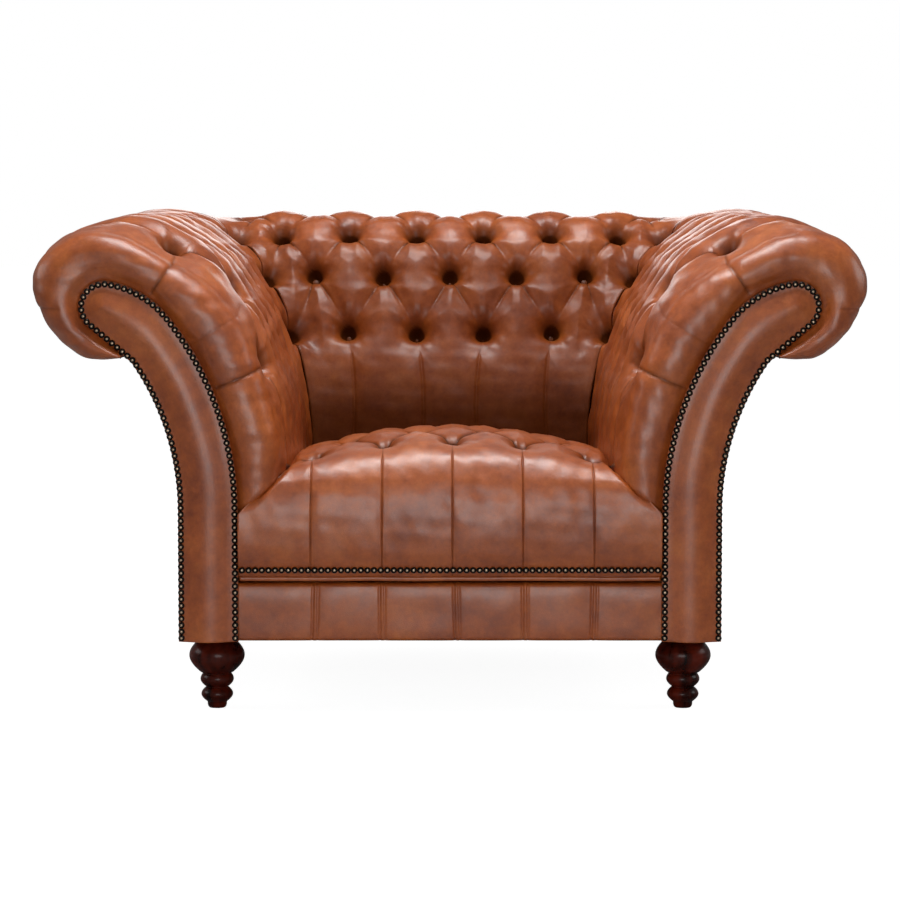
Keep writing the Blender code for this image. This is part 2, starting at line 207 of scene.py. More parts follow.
def even_steps(points: Array, count: int) -> Array:
    """Steps that lie evenly along a section's length.

    Args:
        points: The section's points.
        count: How many steps to give, both ends included.

    Returns:
        The steps, in increasing order.
    """
    fine = np.linspace(0, len(points) - 1, 2000)
    walked = np.concatenate([[0], np.cumsum(np.linalg.norm(np.diff(spline(points, fine), axis=0), axis=1))])
    return np.interp(np.linspace(0, walked[-1], count), walked, fine)


def arc(centre: tuple[float, float], radius: float, start: float, end: float, count: int) -> Array:
    """Points on a circle from one angle to another, in degrees, both ends included."""
    angle = np.radians(np.linspace(start, end, count))
    return np.stack([centre[0] + radius * np.cos(angle), centre[1] + radius * np.sin(angle)], axis=1)


@dataclass(frozen=True)
class Facing:
    """Outline of an arm facing: two edges that leave the floor plumb and flare to a small round head."""

    stem_in: float = 0.327
    stem_out: float = 0.419
    flare_start_out: float = 0.3196
    flare_out: float = 0.400
    flare_out_turn: float = 34.4
    flare_start_in: float = 0.3176
    flare_in: float = 0.480
    flare_in_turn: float = 38.0
    shoulder: float = 0.1527
    shoulder_centre: tuple[float, float] = (0.5491, 0.5191)
    head: float = 0.0394
    head_centre: tuple[float, float] = (0.5296, 0.6307)
    head_from: float = -53.3
    head_to: float = 99.9
    head_tip: float = 30.0

    def outer_edge(self, base: float) -> Array:
        """Outer edge, upwards from the skirt to where the flare ends."""
        centre = (self.stem_out + self.flare_out, self.flare_start_out)
        flare = arc(centre, self.flare_out, 180, 180 - self.flare_out_turn, 30)
        return np.vstack([[(self.stem_out, base)], flare])

    def outer_half(self, base: float) -> Array:
        """From the skirt up the outer edge to the tip of the head."""
        head = arc(self.head_centre, self.head, self.head_from, self.head_tip, 20)
        return np.vstack([self.outer_edge(base), head])

    def inner_half(self, base: float) -> Array:
        """From the skirt up the inner edge to the tip of the head.

        Args:
            base: Height of the lower edge.

        Returns:
            The points.
        """
        centre = (self.stem_in + self.flare_in, self.flare_start_in)
        lean = 180 - self.flare_in_turn
        return np.vstack(
            [
                [(self.stem_in, base)],
                arc(centre, self.flare_in, 180, lean, 40),
                arc(self.shoulder_centre, self.shoulder, lean, self.head_to, 30)[1:],
                arc(self.head_centre, self.head, self.head_to, self.head_tip, 14)[1:],
            ]
        )

    def outline(self, base: float) -> Array:
        """The whole edge, up the outer side and down the inner side."""
        return np.vstack([self.outer_half(base), self.inner_half(base)[::-1][1:]])


FACING = Facing()


def evenly(path: Array, count: int) -> Array:
    """The path again, with count points evenly along it."""
    walked = np.concatenate([[0], np.cumsum(np.linalg.norm(np.diff(path, axis=0), axis=1))])
    at = np.linspace(0, walked[-1], count)
    return np.stack([np.interp(at, walked, path[:, k]) for k in range(path.shape[1])], axis=1)


def distance_to_path(points: Array, path: Array) -> tuple[Array, Array, Array]:
    """How far points lie from a path of straight pieces.

    Args:
        points: One point a row, in any number of dimensions.
        path: The path's corners.

    Returns:
        The distance, how far along the path (0 to 1) the nearest place is, and that nearest place.
    """
    best = np.full(len(points), np.inf)
    along = np.zeros(len(points))
    nearest = np.zeros_like(points)
    pieces = len(path) - 1
    for k in range(pieces):
        a = path[k]
        step = path[k + 1] - a
        share = np.clip((points - a) @ step / max(float(step @ step), 1e-12), 0, 1)
        place = a + share[:, None] * step
        gap = np.linalg.norm(points - place, axis=1)
        closer = gap < best
        best = np.where(closer, gap, best)
        along = np.where(closer, (k + share) / pieces, along)
        nearest = np.where(closer[:, None], place, nearest)
    return best, along, nearest


# ------------------------------------------------------------------ meshes


def grid_faces(rows: int, columns: int, first: int = 0) -> Array:
    """Quads of a grid whose vertices run along each row in turn."""
    index = first + np.arange(rows * columns).reshape(rows, columns)
    return np.stack([index[:-1, :-1], index[1:, :-1], index[1:, 1:], index[:-1, 1:]], axis=-1).reshape(-1, 4)


def add_object(name: str, data: bpy.types.ID) -> bpy.types.Object:
    """A new object in the scene.

    Args:
        name: Name of the object.
        data: Its mesh, light or camera.

    Returns:
        The object.
    """
    obj = bpy.data.objects.new(name, data)
    bpy.context.scene.collection.objects.link(obj)
    return obj


def make_mesh(name: str, vertices: Array, faces: list[list[int]]) -> bpy.types.Object:
    """A smooth-shaded mesh object in the scene.

    Args:
        name: Name of the piece.
        vertices: One vertex a row.
        faces: Vertex numbers of each face, in the order that faces outwards.

    Returns:
        The piece.
    """
    mesh = bpy.data.meshes.new(name)
    mesh.from_pydata(vertices.tolist(), [], faces)
    mesh.validate()
    mesh.shade_smooth()
    return add_object(name, mesh)


def rim_loop(rows: int, columns: int) -> Array:
    """Indices of a grid's edge vertices, once round."""
    index = np.arange(rows * columns).reshape(rows, columns)
    return np.concatenate([index[0, :-1], index[:-1, -1], index[-1, :0:-1], index[:0:-1, 0]])


def closed_pad(name: str, skin: Array, lining: Array, step: int, flip: bool) -> bpy.types.Object:
    """A closed body from a fine outer grid and a coarser inner one.

    Args:
        name: Name of the piece.
        skin: Outer grid, rows by columns by 3. Both counts are one more than a multiple of step.
        lining: Inner grid of the same shape. Only every step-th row and column is used.
        step: How many outer squares one inner square spans.
        flip: Turns every face round, for a skin whose grid order gives inward normals.

    Returns:
        The piece.
    """
    rows, columns = skin.shape[:2]
    coarse = lining[::step, ::step]
    low_rows, low_columns = coarse.shape[:2]
    vertices = np.vstack([skin.reshape(-1, 3), coarse.reshape(-1, 3)])
    first = rows * columns
    outer = grid_faces(rows, columns)
    inner = grid_faces(low_rows, low_columns, first)[:, ::-1]
    faces = outer.tolist() + inner.tolist()
    edge = rim_loop(rows, columns)
    inner_edge = rim_loop(low_rows, low_columns) + first
    for k in range(len(inner_edge)):
        here = inner_edge[k]
        after = inner_edge[(k + 1) % len(inner_edge)]
        fine = [edge[(k * step + j) % len(edge)] for j in range(step + 1)]
        middle = step // 2
        for j in range(step):
            hub = here if j < middle else after
            faces.append([fine[j + 1], fine[j], hub])
        faces.append([fine[middle], here, after])
    if flip:
        faces = [face[::-1] for face in faces]
    return make_mesh(name, vertices, [[int(v) for v in face] for face in faces])


def grid_normals(grid: Array) -> Array:
    """Unit normals of a grid of points.

    Args:
        grid: Rows by columns by 3.

    Returns:
        One unit normal for each point.
    """
    down = np.gradient(grid, axis=0)
    across = np.gradient(grid, axis=1)
    normal = np.cross(down, across)
    return normal / np.maximum(np.linalg.norm(normal, axis=2, keepdims=True), 1e-12)


def store_numbers(obj: bpy.types.Object, name: str, values: Array) -> None:
    """Keeps one number for each vertex as an attribute, with zero for the vertices past the end of values.

    Args:
        obj: The piece.
        name: Name of the attribute.
        values: Numbers of the first vertices.
    """
    layer = obj.data.attributes.new(name, "FLOAT", "POINT")
    full = np.zeros(len(obj.data.vertices), np.float32)
    full[: len(values)] = values
    layer.data.foreach_set("value", full)


# ------------------------------------------------------------------ tufting


@dataclass
class Pleat:
    """A fold in the leather, along a path on the surface."""

    path: Array
    depth: float = 0.0050
    width: float = 0.0034
    valley: float = 0.0095
    spread: float = 0.0210
    taper_start: float = 0.0
    taper_end: float = 0.0
    fade: float = 0.0


@dataclass
class Tufting:
    """The buttons and pleats of one skin, and how far they pull the leather in."""

    buttons: list[Array] = field(default_factory=list)
    pleats: list[Pleat] = field(default_factory=list)
    rise: float = 0.0020
    pit: float = 0.0330
    pit_radius: float = 0.0180
    dish: float = 0.0100
    dish_radius: float = 0.0420
    sag: float = 0.0070

    def relief(self, points: Array) -> tuple[Array, Array, Array]:
        """How the skin stands off its plain surface.

        Args:
            points: Places on the plain surface, one a row.

        Returns:
            The height along the normal, how far the skin is dragged down, and a mask of painted shade, 1 deep
            in a fold or a pit.
        """
        count = len(points)
        pit = np.zeros(count)
        shadow = np.zeros(count)
        dish = np.zeros(count)
        radial = np.zeros(count)
        for number, button in enumerate(self.buttons):
            offset = points - button
            gap = np.linalg.norm(offset, axis=1)
            rise = np.where(offset[:, 2] > 0, 0.72, 1.45) * offset[:, 2]
            cone = np.sqrt(gap**2 - offset[:, 2] ** 2 + rise**2)
            near = gap < 4 * self.dish_radius
            hole = np.exp(-((cone[near] / self.pit_radius) ** 1.8))
            pit[near] = np.maximum(pit[near], hole)
            # Painted shadow in each pit, strongest in its depth and on its upper wall.
            upper = 0.30 + 0.70 * smoothstep((offset[near, 2] + 0.008) / 0.014)
            shade = np.maximum(hole**0.48 * upper, smoothstep((hole - 0.30) / 0.30))
            shadow[near] = np.maximum(shadow[near], shade)
            dish[near] = np.maximum(dish[near], bell(gap[near] / self.dish_radius))
            angle = np.arctan2(offset[near, 2], offset[near, 0] + offset[near, 1])
            ring = bell((gap[near] - 1.7 * self.pit_radius) / 0.010)
            radial[near] += 0.0007 * np.cos(7 * angle + number) * ring
        fold = np.zeros(count)
        mask = np.zeros(count)
        for pleat in self.pleats:
            reach = 3 * pleat.spread
            low = pleat.path.min(axis=0) - reach
            high = pleat.path.max(axis=0) + reach
            near = np.flatnonzero(((points > low) & (points < high)).all(axis=1))
            if not len(near):
                continue
            gap, along, _ = distance_to_path(points[near], pleat.path)
            taper = np.ones(len(near))
            if pleat.taper_start:
                taper *= smoothstep(along / pleat.taper_start)
            if pleat.taper_end:
                taper *= smoothstep((1 - along) / pleat.taper_end)
            crisp = 1 - pleat.fade * smoothstep((along - 0.30) / 0.45)
            sharp = crisp * np.exp(-np.abs(gap / pleat.width) ** 1.5)
            depth = taper * (pleat.depth * sharp + pleat.valley * bell(gap / pleat.spread))
            fold[near] = np.maximum(fold[near], depth)
            # Painted shade along the sharp line of each crease.
            mask[near] = np.maximum(mask[near], taper * sharp * min(1.0, pleat.depth / 0.004))
        height = self.rise - np.maximum(fold, self.dish * dish) - self.pit * pit + radial
        return height, self.sag * pit, np.clip(np.maximum(mask, shadow), 0, 1)


def wobble(points: Array, size: float, height: float, seed: int) -> Array:
    """Slow, smooth unevenness.

    Args:
        points: Places, one a row.
        size: Rough distance between one high and the next.
        height: Rough height of a high.
        seed: Fixes the pattern.

    Returns:
        One height for each place.
    """
    random = np.random.default_rng(seed)
    total = np.zeros(len(points))
    for _ in range(9):
        wave = random.normal(size=3)
        wave *= 2 * math.pi / (size * np.linalg.norm(wave) * random.uniform(0.7, 1.5))
        total += np.sin(points @ wave + random.uniform(0, 2 * math.pi))
    return total * height / 3


# ------------------------------------------------------------------ the inside skin


@dataclass
class InsideSkin:
    """The U-shaped skin of both arms and the back, as one plain surface in two measures.

    A place is (run, step): step counts round the section, and run is the distance past the start of the rear
    corner, negative along the arm towards the front.
    """

    ridge_depth: float = 0.034
    swell: float = 0.150
    inner_corner: float = 0.050
    outer_corner: float = 0.110
    pitch: float = 0.119
    front_column: float = 0.090
    band_columns: int = 44
    arm_columns: int = 188
    corner_columns: int = 16
    rows: int = 369
    back_half_columns: int = 132

    def __post_init__(self) -> None:
        """Finds the depth of the ridge from the frame."""
        self.front = CAD_BOX[0][1]
        self.ridge_y = self.front + self.ridge_depth

    def corner(self, step: Array) -> Array:
        """Radius of the rear corner in plan."""
        return self.inner_corner + (self.outer_corner - self.inner_corner) * smoothstep((11 - step) / 4)

    def corner_start(self, step: Array) -> Array:
        """Depth at which the arm ends and the corner starts."""
        return spline(BACK_SKIN, step)[..., 0] - self.corner(step)

    def place(self, run: Array, step: Array) -> Array:
        """Points of the plain surface, on the right-hand side.

        Args:
            run: Runs of the places.
            step: Steps of the places.

        Returns:
            One point for each place.
        """
        run, step = np.broadcast_arrays(np.asarray(run, float), np.asarray(step, float))
        arm = spline(ARM_SKIN, step)
        ridge = spline(ARM_RIDGE, step)
        back = spline(BACK_SKIN, step)
        radius = self.corner(step)
        start = back[..., 0] - radius
        depth = start + np.minimum(run, 0)
        grown = np.clip((depth - self.ridge_y) / self.swell, 0, 1)
        grown = (1 - (1 - grown) ** 2)[..., None]
        section = ridge + (arm - ridge) * grown
        angle = np.clip(run / radius, 0, math.pi / 2)
        past = np.maximum(run - radius * math.pi / 2, 0)
        x = section[..., 0] - radius * (1 - np.cos(angle)) - past
        y = depth + radius * np.sin(angle)
        mix = smoothstep(angle / (math.pi / 2))
        z = section[..., 1] * (1 - mix) + back[..., 1] * mix
        return np.stack([x, y, z], axis=-1)

    def run_of_depth(self, depth: float, step: float) -> float:
        """The run of a place on the arm at a depth."""
        return depth - float(self.corner_start(np.array(step)))

    def run_of_x(self, x: float, step: float) -> float:
        """The run of a place on the back at a distance from the middle."""
        radius = float(self.corner(np.array(step)))
        return float(spline(ARM_SKIN, np.array(step))[0]) - radius - x + radius * math.pi / 2

    def seam(self, step: float) -> float:
        """The run at the middle of the corner."""
        return float(self.corner(np.array(step))) * math.pi / 4

    def path(self, start: Place, end: Place, count: int = 16) -> Array:
        """A path on the surface between two places."""
        share = np.linspace(0, 1, count)
        return self.place(start[0] + (end[0] - start[0]) * share, start[1] + (end[1] - start[1]) * share)

    def row_step(self, row: int, depth: float) -> float:
        """Step of a button row at a depth on the arm: rows sink a little from the front to the corner.

        Args:
            row: The row, 0 on top.
            depth: Depth in the chair.

        Returns:
            The step.
        """
        at_front = (7.8, 10.6, 12.75, 14.45)[row]
        at_back = (9.25, 11.35, 12.75, 14.25)[row]
        share = min(max((depth - self.front - 0.1) / 0.6, 0.0), 1.0)
        return at_front + (at_back - at_front) * share

    def button_places(self) -> dict[tuple[int, int], Place]:
        """Every button of one half, keyed by row and by half-pitches from the front column.

        Returns:
            The place (run, step) of each. Negative columns are on the back, counted from its middle.
        """
        found: dict[tuple[int, int], Place] = {}
        random = np.random.default_rng(SEED)
        first = self.front + self.front_column
        for row in range(4):
            for column in range(12):
                if (column + row) % 2 == 0:
                    continue
                depth = first + column * self.pitch / 2 + random.normal(0, 0.0015)
                step = self.row_step(row, depth) + random.normal(0, 0.02)
                run = self.run_of_depth(depth, step)
                if run < self.seam(step) - 0.045:
                    found[row, column] = (run, step)
            step = self.row_step(row, 1.0)
            if row >= 1:
                found[row, CORNER_COLUMN] = (self.seam(step), step)
            for column in range(9):
                if (column + row) % 2 == 1:
                    continue
                x = column * self.pitch / 2
                run = self.run_of_x(x, step)
                if run > self.seam(step) + 0.045:
                    found[row, -1 - column] = (run, step + random.normal(0, 0.02))
        return found

    def tufting(self) -> Tufting:
        """Buttons and pleats of the right-hand half.

        Returns:
            The tufting.
        """
        made = Tufting()
        places = self.button_places()
        for place in places.values():
            made.buttons.append(self.place(*place))
        order = {row: sorted((p for (r, _), p in places.items() if r == row)) for row in range(4)}
        for row in range(3):
            for place in order[row]:
                below = self._neighbours(place, order[row + 1])
                if place == places.get((row, CORNER_COLUMN)):
                    below = [places[row + 1, CORNER_COLUMN]]
                for target in below:
                    path = self.path(place, target)
                    made.pleats.append(Pleat(path, 0.0036, 0.0026, 0.0075, 0.019, fade=0.8))
        for place in order[0]:
            made.pleats.append(Pleat(self.path(place, (place[0], 0.0)), 0.0035, 0.0030, 0.004, 0.016))
        for place in order[3]:
            end = (self._same_run(place, 17.8), 17.8)
            made.pleats.append(Pleat(self.path(place, end, 30), 0.0026, 0.0020, 0.0024, 0.014))
        seam_steps = np.linspace(14.3, 18, 40)
        seam = self.place(np.array([self.seam(s) for s in seam_steps]), seam_steps)
        made.pleats.append(Pleat(seam, 0.0060, 0.0036, 0.0075, 0.018))
        return made

    def _neighbours(self, place: Place, row: list[Place]) -> list[Place]:
        """The next row's buttons that a pleat runs to: the nearest on each side.

        Args:
            place: A button's place.
            row: The places of the next row's buttons.

        Returns:
            One or two places.
        """
        here = self.place(*place)
        found = []
        for side in (-1, 1):
            beside = [p for p in row if side * (p[0] - self._same_run(place, p[1])) > 0.004]
            if beside:
                near = min(beside, key=lambda p: float(np.linalg.norm(self.place(*p) - here)))
                if float(np.linalg.norm(self.place(*near) - here)) < 0.20:
                    found.append(near)
        return found

    def _same_run(self, place: Place, step: float) -> float:
        """The run at another step of the place straight below a given one.

        Args:
            place: The given place.
            step: The other step.

        Returns:
            The run there.
        """
        run, own_step = place
        if run < 0:
            depth = float(self.corner_start(np.array(own_step))) + run
            return self.run_of_depth(depth, step)
        seam = self.seam(own_step)
        if abs(run - seam) < 1e-6:
            return self.seam(step)
        x = float(self.place(run, own_step)[0])
        return self.run_of_x(x, step)


SKIN = InsideSkin()


# Where the front of an arm meets the seat: (distance from the middle, height).
SEAT_LINE = np.array(
    [
        (0.200, 0.436),
        (0.218, 0.419),
        (0.235, 0.401),
        (0.249, 0.379),
        (0.270, 0.353),
        (0.323, 0.314),
        (0.345, 0.302),
    ]
)


def seat_line(x: Array) -> Array:
    """Height at which the front of an arm meets the seat, at a distance from the middle."""
    return np.interp(x, SEAT_LINE[:, 0], SEAT_LINE[:, 1])


def band_section(share: Array) -> tuple[Array, Array]:
    """Section of the roll between the nails and the ridge.

    Args:
        share: 0 at the nails, 1 at the ridge.

    Returns:
        How far across the band, 0 to 1, and how far behind the very front.
    """
    section = np.array(
        [
            (0.00, 0.0115),
            (0.07, 0.0055),
            (0.22, -0.0045),
            (0.42, -0.0080),
            (0.62, -0.0060),
            (0.80, 0.0020),
            (0.93, 0.0150),
            (1.00, SKIN.ridge_depth),
        ]
    )
    read = spline(section, share * (len(section) - 1))
    return read[..., 0], read[..., 1]


@dataclass
class InsideLeather:
    """Leather of both arms and the back, with its buttons."""

    lining_depth: float = 0.0465
    tuck: float = 0.030
    # How dark the painted shade low on the arms gets.
    shade: float = 0.72
    button_depth: float = 0.0412
    hessian_depth: float = 0.0500
    hessian_steps: tuple[float, float] = (9.5, 17.5)
    # Step, strength and reach of each fold that runs from the ridge towards the nails.
    band_folds: tuple[tuple[float, float, float], ...] = (
        (3.9, 0.25, 0.6),
        (10.6, 0.60, 1.0),
        (12.9, 0.15, 1.0),
        (14.45, 0.60, 1.0),
    )
    step: int = 4

    def __post_init__(self) -> None:
        """Works out the tufting of both halves."""
        half = SKIN.tufting()
        both = Tufting()
        both.buttons = half.buttons + [b * MIRROR for b in half.buttons]
        both.pleats = half.pleats + [replace(p, path=p.path * MIRROR) for p in half.pleats]
        self.tufting = both
        self.one_side = half

    def band_pleats(self) -> list[Pleat]:
        """Pleats of the right-hand arm that run over the ridge to the nails.

        Returns:
            The pleats.
        """
        found = []
        outline = FACING.outline(0.30)
        for step, strength, reach in self.band_folds:
            ridge = spline(ARM_RIDGE, np.array(step))
            _, _, nail = distance_to_path(ridge[None], outline)
            share = np.linspace(1 - reach, 1.0, 14)
            across, behind = band_section(share)
            flat = nail[0] + (ridge - nail[0]) * across[:, None]
            over = np.stack([flat[:, 0], SKIN.front + behind, flat[:, 1]], axis=1)
            first_column = abs(step - 10.6) < 1 or step > 14
            first = SKIN.front + SKIN.front_column + (0 if first_column else SKIN.pitch / 2)
            far = first if step > 7 else SKIN.ridge_y + 0.05
            start = SKIN.run_of_depth(SKIN.ridge_y, step)
            top = SKIN.path((start, step), (SKIN.run_of_depth(far, step), step), 8)
            path = np.vstack([over, top[1:]])
            found.append(Pleat(path, 0.0045 * strength, 0.0022, 0.0040 * strength, 0.012, 0.12, 0.0))
        return found

    def arm_grid(self) -> tuple[Array, Array]:
        """Plain surface of the right arm, front band included.

        Returns:
            The grid of points, and how far into the arm each is (0 on the nails, 1 past the ridge).
        """
        steps = even_steps(ARM_SKIN, SKIN.rows)
        outline = FACING.outline(0.20)
        ridge = spline(ARM_RIDGE, steps)
        _, _, nail = distance_to_path(ridge, outline)
        padded = np.pad(nail, ((4, 4), (0, 0)), mode="edge")
        nail = np.mean([padded[k : k + len(nail)] for k in range(9)], axis=0)
        share = np.linspace(0, 1, SKIN.band_columns + 1)
        across, behind = band_section(share)
        flat = nail[:, None] + (ridge - nail)[:, None] * across[None, :, None]
        below = seat_line(flat[..., 0]) - flat[..., 1]
        depth = SKIN.front + behind + self.tuck * smoothstep((below + 0.010) / 0.024)
        band = np.stack([flat[..., 0], depth, flat[..., 1]], axis=-1)
        starts = SKIN.ridge_y - SKIN.corner_start(steps)
        ends = SKIN.corner(steps) * math.pi / 4
        along = np.linspace(0, 1, SKIN.arm_columns + 1)[1:]
        run = np.concatenate(
            [
                starts[:, None] * (1 - along),
                ends[:, None] * np.linspace(0, 1, SKIN.corner_columns + 1)[1:],
                ends[:, None] * (1 + 1 / SKIN.corner_columns),
            ],
            axis=1,
        )
        body = SKIN.place(run, steps[:, None])
        grid = np.concatenate([band, body], axis=1)
        inside = np.concatenate([share, np.ones(body.shape[1])])
        return grid, np.broadcast_to(inside, grid.shape[:2])

    def back_grid(self) -> Array:
        """Plain surface of the back's right half, from the corner's middle to past the chair's.

        Returns:
            The grid of points.
        """
        steps = even_steps(ARM_SKIN, SKIN.rows)
        radius = SKIN.corner(steps)
        first = radius * math.pi / 4
        turn = radius * math.pi / 2
        line = spline(ARM_SKIN, steps)[:, 0] - radius
        share = np.linspace(-1, SKIN.corner_columns, SKIN.corner_columns + 2) / SKIN.corner_columns
        corner = first[:, None] * (1 + share)
        straight = turn[:, None] + line[:, None] * np.linspace(0, 1, SKIN.back_half_columns + 1)[1:]
        return SKIN.place(np.concatenate([corner, straight], axis=1), steps[:, None])

    def dress(
        self, grid: Array, tufting: Tufting, strength: Array, lift: Array, seed: int
    ) -> tuple[Array, Array, Array]:
        """Presses the tufting into a plain grid.

        Args:
            grid: Plain points, rows going down the inside.
            tufting: Buttons and pleats.
            strength: 1 where the skin is fully padded, less towards an edge that is tacked down.
            lift: How far the whole skin stands off the plain surface.
            seed: Fixes the unevenness.

        Returns:
            The skin, its lining, and the mask of painted shade in folds and pits, each as a grid.
        """
        normal = -grid_normals(grid)
        down = np.gradient(grid, axis=0)
        down /= np.maximum(np.linalg.norm(down, axis=2, keepdims=True), 1e-12)
        flat = grid.reshape(-1, 3)
        height, sag, mask = tufting.relief(flat)
        height = height + wobble(flat, 0.09, 0.0011, seed) + wobble(flat, 0.03, 0.0004, seed + 1)
        height = height.reshape(grid.shape[:2]) + lift
        sag = sag.reshape(grid.shape[:2])
        skin = grid + normal * (height * strength)[..., None] + down * sag[..., None]
        lining = grid - normal * (0.003 + (self.lining_depth - 0.003) * np.minimum(strength, 1.0))[..., None]
        return skin, lining, mask.reshape(grid.shape[:2])

    def blend_corner(self, own: Array, away: Array, steps: Array) -> Array:
        """Brings the lift of an arm or of the back to one value where they meet.

        Args:
            own: The piece's own lift.
            away: 0 in the corner, 1 where the piece's own lift is reached.
            steps: Step of each row.

        Returns:
            The lift at each point: the top of the corner sits lowest.
        """
        corner = -0.0010 - 0.0060 * smoothstep((steps - 6) / 2) * smoothstep((12.5 - steps) / 2)
        return corner + (own - corner) * smoothstep(away)

    def make_arm(self, hand: Hand) -> bpy.types.Object:
        """Builds one arm's leather.

        Args:
            hand: Which side.

        Returns:
            The piece.
        """
        grid, inside = self.arm_grid()
        pleats = [replace(p, valley=1.25 * p.valley) for p in self.one_side.pleats]
        tufting = Tufting(self.one_side.buttons, pleats + self.band_pleats(), pit=0.031, dish=0.013)
        steps = even_steps(ARM_SKIN, SKIN.rows)[:, None]
        strength = (0.15 + 0.85 * smoothstep(inside * 4)) * (0.05 + 0.95 * smoothstep(steps / 2.5))
        seed = SEED + 20 + 10 * hand.value
        lift = -0.0060 + 0.0045 * smoothstep((steps - 10) / 4)
        lift = lift - 0.0025 * smoothstep((steps - 6) / 2) * smoothstep((12 - steps) / 2)
        lift = self.blend_corner(lift, (SKIN.corner_start(steps) - grid[..., 1]) / 0.20, steps)
        skin, lining, mask = self.dress(grid, tufting, strength, lift, seed)
        # Painted shade: the inside of the arm darkens towards the seat and towards the rear corner; the fold
        # attribute carries all of it.
        dark = smoothstep((steps - 14.8) / 2.4) * smoothstep((grid[..., 1] + 0.15) / 0.2)
        mask = np.maximum(mask, self.shade * dark)
        skin, lining, mask = skin[:, :-1], lining[:, :-1], mask[:, :-1]
        lining[..., 1] = np.maximum(lining[..., 1], SKIN.front + 0.014)
        name = f"{hand.word}_arm_leather"
        piece = closed_pad(name, skin * hand.side, lining * hand.side, self.step, hand is Hand.RIGHT)
        store_numbers(piece, "fold", mask.reshape(-1))
        return piece

    def make_hessian(self, hand: Hand | None) -> bpy.types.Object:
        """Builds the cloth that backs the stuffing, deep enough to clear the buttons.

        Args:
            hand: Which arm, or None for the back.

        Returns:
            The piece.
        """
        steps = np.linspace(self.hessian_steps[0], self.hessian_steps[1], 33)[:, None]
        if hand:
            run = np.linspace(-0.55, float(SKIN.seam(14.0)) - 0.02, 41)[None, :]
            grid = SKIN.place(run, steps)
        else:
            turn = SKIN.corner(steps) * math.pi / 4
            line = spline(ARM_SKIN, steps[:, 0])[:, :1] - SKIN.corner(steps)
            first = turn + 0.02
            half = SKIN.place(first + (2 * turn + line - first) * np.linspace(0, 1, 31)[None, :], steps)
            grid = np.concatenate([half, (half * MIRROR)[:, -2::-1]], axis=1)
        normal = -grid_normals(grid)
        side = hand.side if hand else Hand.RIGHT.side
        near = (grid - normal * self.hessian_depth) * side
        far = (grid - normal * (self.hessian_depth + 0.0015)) * side
        return loft_closed(f"{hand.word}_arm_backing" if hand else "back_backing", near, far)

    def button_points(self, for_back: bool) -> tuple[Array, Array]:
        """Where the buttons sit in their pits.

        Args:
            for_back: True for the back's buttons on both sides, False for one right-hand arm's.

        Returns:
            The places and which way each button looks.
        """
        spots, ways = [], []
        for run, step in SKIN.button_places().values():
            on_back = run > SKIN.seam(step) - 1e-6
            if on_back != for_back:
                continue
            here = SKIN.place(run, step)
            along = SKIN.place(run + 0.002, step) - here
            down = SKIN.place(run, step + 0.02) - here
            way = np.cross(along, down)
            way /= np.linalg.norm(way)
            down /= np.linalg.norm(down)
            spots.append(here - way * self.button_depth + down * self.tufting.sag)
            ways.append(way)
        spots, ways = np.array(spots), np.array(ways)
        if for_back:
            other = spots[:, 0] > 0.005
            spots = np.vstack([spots, spots[other] * MIRROR])
            ways = np.vstack([ways, ways[other] * MIRROR])
        return spots, ways

    def make_back(self) -> bpy.types.Object:
        """Builds the back's leather from its two halves.

        Returns:
            The piece.
        """
        half = self.back_grid()
        grid = np.concatenate([half, (half * MIRROR)[:, -2::-1]], axis=1)
        strength = np.ones(grid.shape[:2])
        steps = even_steps(ARM_SKIN, SKIN.rows)[:, None]
        edge = spline(ARM_SKIN, steps[:, 0])[:, :1] - SKIN.corner(steps)
        lift = self.blend_corner(np.full((SKIN.rows, 1), 0.0035), (edge - np.abs(grid[..., 0])) / 0.10, steps)
        skin, lining, mask = self.dress(grid, self.tufting, strength, lift, SEED + 3)
        # Painted shade: the back darkens from its middle rows down to the seat, most near the seat; the fold
        # attribute carries it.
        low = 0.50 * smoothstep((steps - 10.8) / 2.0) + 0.46 * smoothstep((steps - 14.6) / 1.6)
        mask = np.maximum(mask, low)
        skin, lining, mask = skin[:, 1:-1], lining[:, 1:-1], mask[:, 1:-1]
        piece = closed_pad("back_leather", skin, lining, self.step, True)
        store_numbers(piece, "fold", mask.reshape(-1))
        return piece


# ------------------------------------------------------------------ the seat


